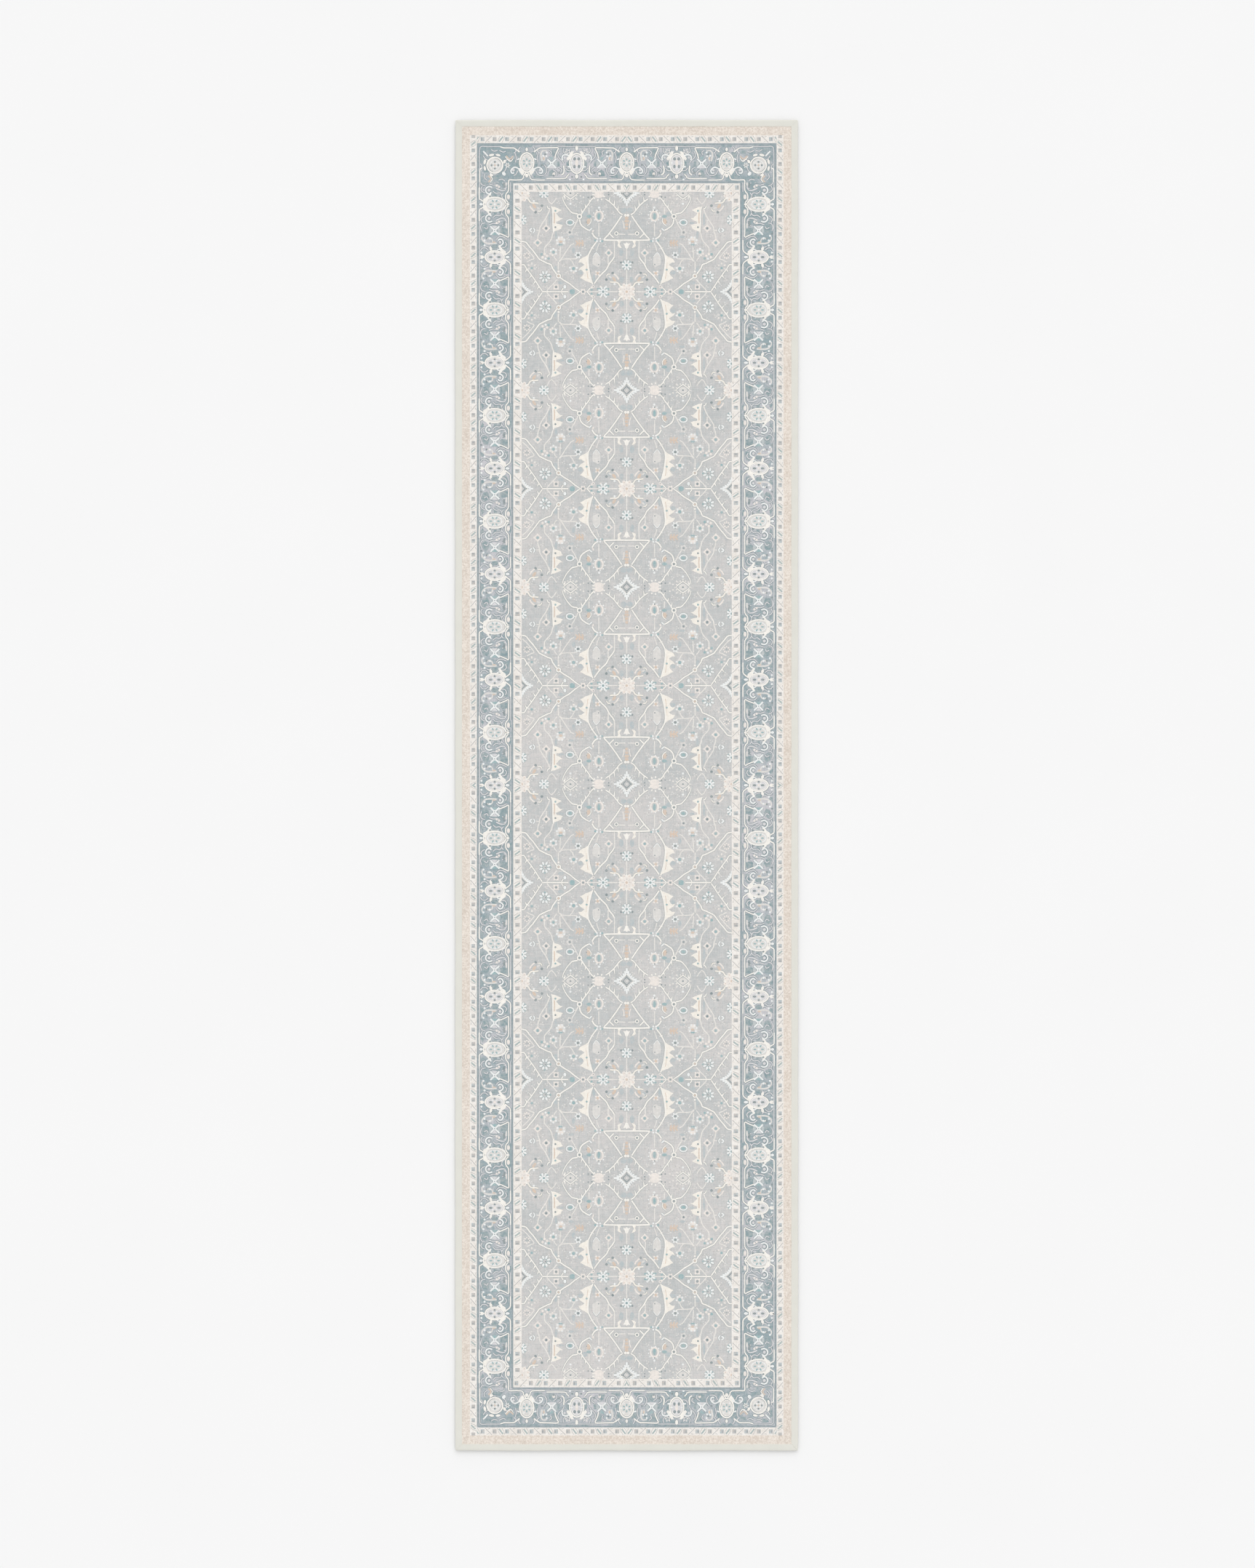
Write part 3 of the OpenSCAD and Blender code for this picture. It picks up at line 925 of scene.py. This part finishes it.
# The second curl and its buds
side.line("white", 3.5, (82, 80), (76, 78), (70, 80.5), (67.5, 86), (70, 92), (76, 94.5), (80, 91))
side.patch("ivory", (77, 91), (80, 94), (77, 101), (72, 108), (68, 117), (62, 114), (62, 106), (70, 101))
side.oval("lilac", 75, 86, 3.8, 3.8)
side.line("lilac", 4.0, (91, 82), (100, 86), (110, 86), (114, 79), tip=0.6)
side.dots("pink", 2.6, (97, 79), (92, 76))
side.oval("slate", 108.5, 74, 2.6, 6.0)
side.oval("ghost", 113.5, 70, 2.2, 7.0)
side.oval("pink", 118, 101, 3.6, 5.6)
side.dots("slate", 2.4, (119, 110.5), (77, 100), (101, 100))
# The second palmette
side.oval("ghost", 87.5, SIDE_STEP, 23, 14)
side.ring("ivory", 87.5, SIDE_STEP, 25, 3.6, 0.62, 28)
side.ring("white", 87.5, SIDE_STEP, 16, 2.4, 0.62)
side.petals("teal", 87.5, SIDE_STEP, 5, 12, 6, 2.0, 0)
side.dots("white", 2.8, (87.5, SIDE_STEP))
side.petals("mist", 87.5, SIDE_STEP, 17, 22, 8, 2.2, 22.5)
side.oval("white", 57, SIDE_STEP, 4.0, 3.2)
side.oval("ivory", 116, SIDE_STEP, 4.6, 3.0)

# The main border's end repeat: x from the middle of the end, y in from its edge
END_STEP = 111.1
END_OUT = 51.4
END_IN = 141.0
end = Drawing("shade")
undergrowth(
    end,
    [[(18, 94), (24, 91), (25, 102), (19, 106)], [(56, 66), (66, 66), (63, 78), (57, 84)],
     [(50, 115), (57, 110), (62, 118), (60, 126), (48, 126)],
     [(88, 94), (94, 91), (94, 102), (88, 104)], [(10, 72), (19, 70), (23, 80), (15, 86)],
     [(15, 122), (29, 122), (36, 129), (15, 130)], [(66, 92), (73, 93), (74, 102), (68, 106)],
     [(88, 108), (98, 110), (96, 118), (88, 117)], [(2, 54), (14, 55), (10, 62), (3, 60)],
     [(84, 54), (104, 55), (98, 61), (88, 62)]],
    [[(72, 70), (69, 78), (73, 86), (80, 92), (82, 97)], [(39, 100), (44, 107), (44, 116), (40, 122)],
     [(71, 106), (77, 110), (76, 116), (69, 119)], [(20, 113), (23, 120), (30, 124), (38, 124)],
     [(86, 107), (92, 113), (99, 113)], [(83, 62), (81, 70), (87, 76), (94, 73), (96, 65)],
     [(14, 60), (18, 66), (16, 71)], [(26, 74), (23, 84), (25, 95)], [(26, 64), (24, 70), (29, 74)],
     [(60, 112), (66, 116), (66, 124)], [(50, 68), (55, 72), (53, 78)]])
# The pale lines that join one palmette to the next
end.line("ivory", 3.1, (16, 72), (24, 65.5), (30, 62.6), (50, 62.2), (69, 62.3), (68, 69), (64.5, 77),
         (62.5, 86))
end.line("lilac", 2.4, (69, 59.6), (112, 59.6))
end.line("ivory", 2.9, (44, 130.5), (84, 130.5), (89, 126), (94, 121))
end.line("ivory", 2.9, (2, 117), (7, 125), (11.5, 133.3), (40, 134))
end.line("lilac", 2.4, (40, 134.4), (112, 134.4))
# The first palmette and its buds
end.oval("ghost", 0, 95, 13.5, 19)
end.ring("ivory", 0, 95, 15.5, 3.6, 1.38, 28)
end.petals("teal", 0, 95, 4, 10, 6, 2.0, 90)
end.petals("white", 0, 95, 10, 14, 6, 1.8, 60)
end.dots("white", 2.8, (0, 95))
end.ring("ivory", 0, 95, 12, 1.6, 1.45, 28)
end.patch("ivory", (5, 113), (12, 107), (19, 108), (18, 113), (14, 119), (10, 124), (6, 120))
end.oval("ivory", 0, 66, 3.0, 4.5)
end.oval("ivory", 0, 124, 4.0, 4.5)
end.oval("white", 19, 87.5, 3.4, 2.0, 30)
# The cross between two triangles, with a curl to each side
end.patch("teal", (49, 82), (60, 84), (56, 91))
end.patch("lilac", (48, 108), (63, 108), (55.5, 100))
end.oval("mist", 46, 97, 3.6, 6)
end.oval("mist", 65, 97, 3.6, 6)
end.line("white", 4.1, (46, 88), (55.5, 97.3), (65, 107))
end.line("white", 4.1, (46, 107), (55.5, 97.3), (65, 87))
end.dots("white", 4.2, (55.5, 97.3))
end.dots("slate", 1.7, (55.5, 97.3))
end.line("ghost", 4.6, (34, 92), (32, 82), (32, 74), (37, 68.5), (45, 70), tip=0.6)
end.line("ghost", 3.2, (38, 92), (40, 85), (37, 80))
end.dots("white", 2.4, (44.5, 73), (36.5, 80), (43.5, 81))
end.dots("slate", 2.6, (41, 76.5), (34, 100))
end.oval("tan", 38, 86, 2.0, 3.6)
end.line("white", 3.5, (12, 113), (18, 109), (25, 105.5), (31, 107.5), (35, 113), (33, 118.5), (28, 118))
end.oval("lilac", 29.5, 112, 3.4, 3.4)
end.line("ivory", 3.5, (82, 102), (83.2, 111), (82, 119), (77, 122.5))
end.dots("slate", 2.6, (72, 117.5), (60, 124))
end.oval("pink", 60, 121, 3.2, 4.0)
# The second palmette
end.oval("lilac", END_STEP, 97, 13.5, 20)
end.ring("ivory", END_STEP, 97, 15.5, 3.6, 1.42, 28)
end.oval("slate", 106.5, 87, 3.4, 3.8)
end.oval("slate", 106.0, 104, 2.8, 4.2)
end.petals("white", END_STEP, 96, 8, 14, 4, 1.4, 0)
end.oval("pink", END_STEP, 96, 3.4, 8)
end.ring("ivory", END_STEP, 97, 12, 1.6, 1.5, 28)
end.patch("ivory", (105, 70), (99, 70), (93, 79), (88, 87), (92, 91), (98, 85), (101, 80))
end.line("white", 3.5, (95, 80), (88, 78), (81, 79), (78.5, 85), (80, 90))
end.oval("lilac", 84, 84, 2.8, 3.0)
end.petals("ghost", 91, 71, 2, 7, 5, 2.0, 28)
end.oval("ivory", END_STEP, 63.5, 3.4, 6.0)
end.oval("ivory", END_STEP, 126, 4.0, 5.2)
end.oval("white", 94.5, 104.5, 4.8, 2.2)
end.dots("white", 2.4, (96, 133))
end.dots("slate", 2.4, (101, 127))

# The corner of the main border: x and y in from the two edges of the rug
CORNER_IN = 129.8
CORNER_ALONG = 139.6
corner = Drawing("shade")
undergrowth(
    corner,
    [[(56, 76), (62, 74), (65, 88), (58, 94)], [(64, 64), (80, 63), (84, 69), (70, 72)],
     [(82, 124), (100, 122), (106, 129), (86, 132)], [(114, 96), (122, 94), (123, 110), (116, 112)],
     [(62, 110), (74, 110), (76, 117), (64, 118)], [(114, 68), (126, 68), (128, 76), (116, 76)]],
    [[(56, 98), (60, 106), (58, 114)], [(98, 68), (106, 72), (112, 70)],
     [(112, 90), (118, 88), (124, 92)], [(76, 116), (82, 122), (90, 122)],
     [(66, 120), (64, 128), (70, 134)], [(104, 118), (110, 114), (114, 106)],
     [(72, 90), (66, 86), (62, 80)], [(80, 66), (86, 70), (94, 68)],
     [(96, 134), (104, 132), (110, 136)]])
corner.line("lilac", 2.4, (54, 130), (54, 70), (58, 59.5), (70, 59.5), (100, 59.5))
corner.line("ivory", 2.9, (54.5, 139), (54.5, 112), (59, 107))
corner.line("ivory", 2.9, (100, 60), (108, 62.5), (130, 62.5), (139, 62.5))
# The round palmette with its buds
corner.oval("ghost", 88, 101, 17, 15, 45)
corner.ring("ivory", 88, 101, 17.5, 3.4, 1.0, 28)
corner.ring("white", 88, 101, 10.5, 1.8, 1.0, 20)
corner.petals("slate", 88, 101, 5, 10, 4, 2.6, 0)
corner.petals("white", 88, 101, 2, 8, 4, 1.5, 45)
corner.dots("tan", 2.2, (88, 101))
corner.oval("ivory", 80.5, 78.5, 6.0, 3.0, -12)
corner.oval("ivory", 95, 78.5, 5.6, 2.8, 12)
corner.oval("ivory", 65.5, 93.5, 3.0, 6.0, 12)
corner.oval("ivory", 65.5, 108, 2.8, 5.6, -12)
corner.oval("ivory", 109.5, 93, 3.2, 4.6, 30)
corner.oval("ivory", 80, 122.5, 4.6, 3.0, 30)
corner.oval("white", 108, 120, 5.0, 4.0, 45)
corner.line("white", 3.8, (62, 70), (67, 75), (72.5, 81))
corner.oval("ghost", 116, 101, 4.4, 4.4)
corner.petals("white", 116, 101, 4.0, 6.6, 6, 1.4, 0)
corner.dots("slate", 1.8, (116, 101))
# The curl shared with the end, and the chevrons
corner.line("white", 3.5, (140.8, 109), (133.8, 105.5), (127.8, 107.5), (123.8, 113), (125.8, 118.5),
            (130.8, 118))
corner.oval("lilac", 129.3, 112, 3.4, 3.4)
corner.line("ivory", 2.9, (118.5, 142), (118.5, 137), (119.5, 134), (125, 133.6), (132, 133.8))
corner.line("ivory", 2.4, (111, 82), (119, 91), (124, 92), (131, 83))
corner.line("ivory", 2.4, (77, 123.5), (82.5, 131.5), (77, 140))
corner.line("tan", 3.0, (113, 80), (121, 87.5), (129, 80.5))
corner.line("tan", 3.0, (73.5, 124), (79, 131.5), (73.5, 139))


def guard_repeat(length, low, high, leaf, slant):
    """One repeat of a guard stripe, which runs along x and is as wide as low to high. It is cells with
    a box in each, parted by a slanted leaf and a slanted line by turns. leaf is the share of the
    repeat at which the leaf stands, and slant is 1 or -1."""
    d = Drawing()
    span = high - low
    mid = (low + high) / 2
    rise = slant * 0.31 * span
    for at in (leaf - 1, leaf, leaf + 1):
        x = at * length
        d.line("sage", 3.4, (x - 4.0, mid - rise), (x, mid - 0.1 * rise), (x + 4.6, mid + rise))
        for way in (1, -1):
            d.line("stone", 1.3, (x - way * 8.0, mid - way * 1.25 * rise),
                   (x - way * 5.6, mid + way * 0.2 * rise), (x - way * 1.5, mid + way * 1.35 * rise))
        x += 0.52 * length
        d.line("stone", 1.7, (x - 7.5, mid - 1.35 * rise), (x, mid), (x + 7.5, mid + 1.35 * rise))
        d.line("stone", 1.2, (x - 4.0, mid + 1.2 * rise), (x + 1.0, mid + 0.9 * rise))
        d.line("stone", 1.2, (x - 1.0, mid - 0.9 * rise), (x + 4.0, mid - 1.2 * rise))
    for past_leaf, dye in ((0.27, "stone"), (0.76, "mist"), (-0.24, "mist"), (-0.73, "stone")):
        x = (leaf + past_leaf) * length
        half = 0.27 * span
        d.box(dye, x - 4.4, mid - half, x + 4.4, mid + half)
        d.box("shadow", x + 0.4, mid - 0.8 * half, x + 3.6, mid + 0.5 * half)
        d.dots("tan", 1.2, (x - 2.2, mid + 0.4 * half))
    return d


# ---------------------------------------------------------------------------
# The print: laying it on the cloth
# Every dye is one piece. A printed shape stands a hair above the ground, where the dye swells the
# pile, and its rim is sunk in the cloth. The later a dye is printed, the higher it stands.
# ---------------------------------------------------------------------------
SUNK = 0.03                   # how deep the rim of a printed shape lies in the cloth
STAGGER = 0.002               # how much higher than the one before it each of 7 shapes of a dye stands
# Each dye: its colour, how far it wears away, and its height. Shade edges the pale lines of the
# border and dusk those of the field, so the two never meet.
DYES = {
    "deep": ((140, 162, 167), 0.50, 0.020),
    "shade": ((130, 146, 152), 0.40, 0.036),
    "dusk": ((176, 181, 180), 0.50, 0.036),
    "mist": ((188, 198, 201), 0.65, 0.052),
    "lilac": ((224, 223, 225), 0.30, 0.068),
    "ghost": ((231, 228, 224), 0.42, 0.084),
    "frame": ((148, 162, 168), 0.30, 0.100),
    "stone": ((196, 195, 193), 0.30, 0.116),
    "shadow": ((168, 171, 172), 0.35, 0.132),
    "sage": ((172, 188, 187), 0.35, 0.148),
    "ground": ((203, 203, 202), 0.20, 0.164),
    "cream": ((252, 246, 236), 0.20, 0.180),
    "stem": ((241, 237, 231), 0.32, 0.196),
    "ivory": ((253, 249, 242), 0.18, 0.212),
    "pink": ((247, 239, 232), 0.30, 0.228),
    "white": ((246, 248, 247), 0.24, 0.244),
    "tan": ((224, 203, 185), 0.35, 0.260),
    "teal": ((156, 186, 189), 0.35, 0.276),
    "slate": ((140, 153, 156), 0.33, 0.292),
}
WORN_TO = (208, 208, 206)     # what a worn print fades to
NARROW = 0.3                  # a shape cut narrower than this isn't printed
SLIVER = 0.01                 # nor is a face of a cut shape with less area
ink = {name: ([], [], [0]) for name in DYES}


def plan_area(x, y):
    """The area of an outline."""
    return 0.5 * abs(np.sum(x * np.roll(y, -1) - np.roll(x, -1) * y))


def lay(drawing, at, turn=(1, 1), keep=None, upright=False):
    """Prints one repeat with its zero at a place on the rug. turn mirrors it, keep is the part of it
    that is printed, as x and y limits in its own measure, and upright swaps its x and y."""
    for number, (name, places, high, faces) in enumerate(drawing.shapes):
        p = np.array(places, float)
        if keep is not None:
            p[:, 0] = np.clip(p[:, 0], keep[0], keep[1])
            p[:, 1] = np.clip(p[:, 1], keep[2], keep[3])
            if np.ptp(p[:, 0]) < NARROW or np.ptp(p[:, 1]) < NARROW:
                continue
        if upright:
            p = p[:, ::-1]
        x, y = at[0] + turn[0] * p[:, 0], at[1] + turn[1] * p[:, 1]
        z = face_height(x, y) + np.where(high, DYES[name][2] + STAGGER * (number % 7), -SUNK)
        flipped = (turn[0] * turn[1] < 0) != upright
        if keep is not None and not np.allclose(np.sort(p), np.sort(places)):
            faces = [f for f in faces if plan_area(x[list(f)], y[list(f)]) > SLIVER]
        points, made, count = ink[name]
        points.append(np.stack([x, y, z], 1))
        made += [tuple(count[0] + i for i in (f[::-1] if flipped else f)) for f in faces]
        count[0] += len(p)


# The field: stars and diamonds by turns, with a diamond near the middle of the rug. The last
# diamond at each end lies just inside the guard.
FIELD_OFF = 2.6               # how far towards the head the field is printed off the middle
FIELD_COUNT = 6               # whole repeats of the field from the middle to each end
for sx in (1, -1):
    for sy in (1, -1):
        for star in range(1 - FIELD_COUNT, FIELD_COUNT, 2):
            lay(field, (0, star * FIELD_V + FIELD_OFF), (sx, sy), (0, FIELD_U, 0, FIELD_V))
        past_end = HALF_L - END_BANDS[4] - FIELD_COUNT * FIELD_V - sy * FIELD_OFF
        lay(field, (0, sy * (FIELD_COUNT + 1) * FIELD_V + FIELD_OFF), (sx, -sy),
            (0, FIELD_U, FIELD_V - past_end, FIELD_V))

# The border: down both sides, across both ends, and its four corners
SIDE_COUNT = 12               # repeats of the side from the middle of the rug into each corner
END_PAST = 29.0               # how far the end's pattern runs on past its last palmette
corner_start = SIDE_COUNT * SIDE_STEP - HALF_L + CORNER_ALONG
for sx in (1, -1):
    for step in range(2 - SIDE_COUNT, SIDE_COUNT - 1, 2):
        for sy in (1, -1):
            lay(side, (-sx * HALF_W, step * SIDE_STEP), (sx, sy), (BORDER_IN, BORDER_OUT, 0, SIDE_STEP))
    for sy in (1, -1):
        lay(side, (-sx * HALF_W, -sy * SIDE_COUNT * SIDE_STEP), (sx, sy),
            (BORDER_IN, BORDER_OUT, corner_start, SIDE_STEP))
        lay(corner, (-sx * HALF_W, -sy * HALF_L), (sx, sy), (BORDER_IN, CORNER_IN, END_OUT, CORNER_ALONG))
        lay(end, (0, -sy * HALF_L), (sx, sy), (0, END_STEP, END_OUT, END_IN))
        lay(end, (sx * 2 * END_STEP, -sy * HALF_L), (-sx, sy), (0, END_STEP, END_OUT, END_IN))
        lay(end, (sx * 2 * END_STEP, -sy * HALF_L), (sx, sy), (0, END_PAST, END_OUT, END_IN))


def run_guard(bands, half, stop, step, leaf, slant, upright=False):
    """Prints a guard stripe from the middle of its side or end out to the corners. stop is how far
    short of the rug's edge it ends, and step is the length of its repeat."""
    stripe = guard_repeat(step, *bands, leaf, slant)
    for i in range(math.ceil((half - stop) / step)):
        reach = min(step, half - stop - i * step)
        for sx in (1, -1):
            for sy in (1, -1):
                at = (-sx * HALF_W, sy * i * step) if upright else (sx * i * step, -sy * HALF_L)
                lay(stripe, at, (sx, sy), (0, reach, *bands), upright)


run_guard(SIDE_BANDS[1:3], HALF_L, END_BANDS[1], 62.04, 0.0, 1, upright=True)
run_guard(SIDE_BANDS[3:5], HALF_L, END_BANDS[4], 70.7, 0.12, -1, upright=True)
run_guard(END_BANDS[1:3], HALF_W, SIDE_BANDS[2], 54.5, 0.12, 1)
run_guard(END_BANDS[3:5], HALF_W, SIDE_BANDS[3], 65.2, 0.0, -1)

# The dark lines that frame the border
frames = Drawing()
for side_in, end_in, width in ((49.8, 54.2, 3.4), (127.2, 139.0, 3.2)):
    w, l = HALF_W - side_in, HALF_L - end_in
    for a, b in (((-w, -l), (-w, l)), ((w, l), (w, -l)), ((-w, l), (w, l)), ((w, -l), (-w, -l))):
        frames.line("frame", width, a, b, step=GRID)
lay(frames, (0, 0))


def ink_material(name, colour, wear):
    """A dye that has worn to the ground's colour in small patches."""
    material, tree, shader = new_material("dye_" + name, 0.93, sheen=0.08)
    worn = between(tree, noise(tree, 170.0, (1, 1, 1), 4.0), 0.34, 0.66, 0.0, wear)
    tone = mixed(tree, worn, srgb(*colour), srgb(*WORN_TO))
    woven_colour(tree, shader, tone, 0.03)
    weave_bump(tree, shader)
    return material


for name, (colour, wear, _) in DYES.items():
    points, faces, _ = ink[name]
    dye = ink_material(name, colour, wear)
    piece = mesh_piece("print_" + name, np.concatenate(points), faces, [dye], flat_shaded=True)
    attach(piece, "cover")


# ---------------------------------------------------------------------------
# The edge: binding tape
# A pale sage twill tape, folded over the raw edge of all the layers and cut at 45 degrees at the
# corners. It pulls in slightly between stitches, so its edges are never quite straight.
# ---------------------------------------------------------------------------
TAPE_W = 15.0                 # how much of it shows on the face
UNDER_W = 13.0                # how far it reaches under the cover
SEAM_IN = 13.0                # from the edge of the rug to the seam
TAPE_STEP = 8.0               # the widest mesh square along the tape
TWILL_GAP = 1.4               # from one rib of the twill to the next
RIPPLE = 0.10                 # how far the tape rises and falls
RIPPLE_GAP = 9.7              # from one rise to the next
tape_top = max(node_top("binding_left"), node_top("binding_head"))
tape_bottom = node_bottom("binding_left")

tape_cloth, tree, shader = new_material("sage_tape", 0.9, sheen=0.1)
twill = threads(tree, "DIAGONAL", TWILL_GAP, 0.8)
patchy = between(tree, noise(tree, 35.0), 0.35, 0.65)
sage = mixed(tree, patchy, srgb(228, 227, 219), srgb(231, 230, 222))
tree.links.new(mixed(tree, between(tree, twill.outputs["Fac"], 0, 1, 0, 0.35), sage, srgb(219, 218, 208)),
               shader.inputs["Base Color"])
tree.links.new(between(tree, noise(tree, 500.0), 0.3, 0.7, 0.8, 0.95), shader.inputs["Roughness"])
bump(tree, shader, twill.outputs["Fac"], 0.12)


def tape(name, node, axis, sign):
    """One length of tape. Its section runs from under the cover, round the edge and on to the face,
    and each line of it stops where it meets the next side's tape."""
    thick = tape_top - face_top
    half_across, half_along = (HALF_W, HALF_L) if axis == "y" else (HALF_L, HALF_W)
    fold = (tape_top - tape_bottom) / 2
    # The lower edge, then round the fold
    section = [(UNDER_W, tape_bottom + thick), (UNDER_W, tape_bottom + 0.1), (UNDER_W - 0.3, tape_bottom)]
    section += [(fold - fold * math.sin(a), tape_bottom + fold - fold * math.cos(a))
                for a in np.linspace(0, math.pi, 7)]
    # Over the face, drawn down by the seam, to the upper edge
    section += [(5, tape_top + 0.08), (SEAM_IN - 1.4, tape_top + 0.04), (SEAM_IN, tape_top - 0.10),
                (TAPE_W - 0.9, tape_top + 0.02), (TAPE_W - 0.2, tape_top - 0.08),
                (TAPE_W, face_top - 0.05)]
    # Back along the inside of the tape
    section += [(SEAM_IN, face_top), (2.0, face_top), (1.2, (tape_top + tape_bottom) / 2),
                (2.0, tape_bottom + thick)]
    count = math.ceil(2 * half_along / TAPE_STEP)
    ends = np.array([1.0, 2.0, 3.0, 4.0, 6.0]) / half_along
    share = np.unique(np.concatenate([np.linspace(-1, 1, count + 1), 1 - ends, ends - 1]))
    points = []
    for inset, height in section:
        along = share * (half_along - inset)
        ripple = RIPPLE * np.sin(along * 2 * math.pi / RIPPLE_GAP + 1.3 * np.sin(along / 31.0))
        if inset > TAPE_W - 1.0:
            across = half_across - inset + 2.5 * ripple
        elif inset < 1.0:
            across = half_across - inset - 0.25 + 0.25 * np.sin(along / 47.0)
        else:
            across = np.full_like(along, half_across - inset)
        x, y = (sign * across, along) if axis == "y" else (along, sign * across)
        x, y = round_corner(x, y, HALF_W, HALF_L)
        swell = ripple if height > face_top and 2.0 < inset < SEAM_IN else 0.0
        points.append(np.stack([x, y, height + lie(x, y) + swell], 1))
    n, m = len(share), len(section)
    flip = (sign < 0) == (axis == "y")
    faces = []
    for i in range(m):
        for j in range(n - 1):
            f = (i * n + j, i * n + j + 1, (i + 1) % m * n + j + 1, (i + 1) % m * n + j)
            faces.append(f[::-1] if flip else f)
    for j, turned in ((0, flip), (n - 1, not flip)):
        cap = tuple(i * n + j for i in range(m))
        faces.append(cap[::-1] if turned else cap)
    piece = mesh_piece(name, np.concatenate(points), faces, [tape_cloth])
    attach(piece, "cover")
    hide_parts(node)


tape("tape_left", "binding_left", "y", -1)
tape("tape_right", "binding_right", "y", 1)
tape("tape_head", "binding_head", "x", 1)
tape("tape_foot", "binding_foot", "x", -1)


# ---------------------------------------------------------------------------
# The edge: stitching
# One row of lockstitch in sage polyester thread, 2 mm from the inner edge of the tape, goes
# through the tape and all the layers. Each stitch is a short bead of thread.
# ---------------------------------------------------------------------------
thread, tree, shader = new_material("sage_thread", 0.6, sheen=0.2)
ply = noise(tree, 1500.0, (1, 1, 1), 1.0)
tree.links.new(mixed(tree, ply, srgb(222, 221, 212), srgb(238, 237, 230)), shader.inputs["Base Color"])
bump(tree, shader, ply, 0.1)

STITCH = 4.0                  # from one stitch to the next
BEAD = ((0.10, -0.15), (0.25, 0.14), (0.5, 0.22), (0.75, 0.14), (0.90, -0.15))       # share of it, rise
ACROSS = ((-0.42, 0.30), (-0.2, 0.05), (0.2, 0.05), (0.42, 0.30))                    # to the side, drop


def stitches(name, node, axis, sign):
    """One side's row of stitches, each a bead of thread that dips into the tape at both ends."""
    half_across, half_along = (HALF_W, HALF_L) if axis == "y" else (HALF_L, HALF_W)
    run = half_along - SEAM_IN - (0 if axis == "y" else STITCH / 2)
    count = int(2 * run / STITCH)
    start = -count * STITCH / 2
    across = sign * (half_across - SEAM_IN)
    wide = len(ACROSS)
    points, faces = [], []
    for i in range(count):
        base = len(points)
        for share, rise in BEAD:
            along = start + (i + share) * STITCH
            for off, drop in ACROSS:
                x, y = (across + off, along) if axis == "y" else (along, across + off)
                points.append((x, y, tape_top + rise - drop + lie(x, y)))
        for r in range(len(BEAD) - 1):
            for c in range(wide - 1):
                first = base + wide * r + c
                f = (first, first + 1, first + wide + 1, first + wide)
                faces.append(f if axis == "y" else f[::-1])
    piece = mesh_piece(name, points, faces, [thread])
    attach(piece, "cover")
    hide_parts(node)


stitches("stitches_left", "seam_left", "y", -1)
stitches("stitches_right", "seam_right", "y", 1)
stitches("stitches_head", "seam_head", "x", 1)
stitches("stitches_foot", "seam_foot", "x", -1)


# ---------------------------------------------------------------------------
# The care label
# A plain satin label with nothing on it, sewn in under the tape at the foot end. It lies flat
# between the cover and the pad.
# ---------------------------------------------------------------------------
satin, tree, shader = new_material("label_satin", 0.5, sheen=0.2)
grain = noise(tree, 1.0, (200.0, 2500.0, 1.0), 1.0)
tree.links.new(mixed(tree, grain, srgb(228, 228, 224), srgb(240, 240, 237)), shader.inputs["Base Color"])
bump(tree, shader, grain, 0.05)

LABEL_XS, LABEL_YS = 19, 8    # mesh lines across and along the label
LABEL_LOW = 0.05              # how far the label is kept down, clear of the loops
LABEL_THICK = 0.2
xs = np.linspace(label_low[0], label_high[0], LABEL_XS) / MM
ys = np.linspace(label_low[1], label_high[1], LABEL_YS) / MM
x, y = [g.ravel() for g in np.meshgrid(xs, ys, indexing="ij")]
label_z = label_high[2] / MM - LABEL_LOW + lie(x, y) + 0.04 * np.sin(x / 5.0)
squares = []
for i in range(LABEL_XS - 1):
    for j in range(LABEL_YS - 1):
        first = LABEL_YS * i + j
        squares.append((first, first + 1, first + LABEL_YS + 1, first + LABEL_YS))
label = mesh_piece("blank_label", np.stack([x, y, label_z], 1), squares, [satin])
cloth = label.modifiers.new("cloth thickness", "SOLIDIFY")
cloth.thickness = LABEL_THICK * MM
cloth.offset = 1
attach(label, "cover")
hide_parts("care_label")
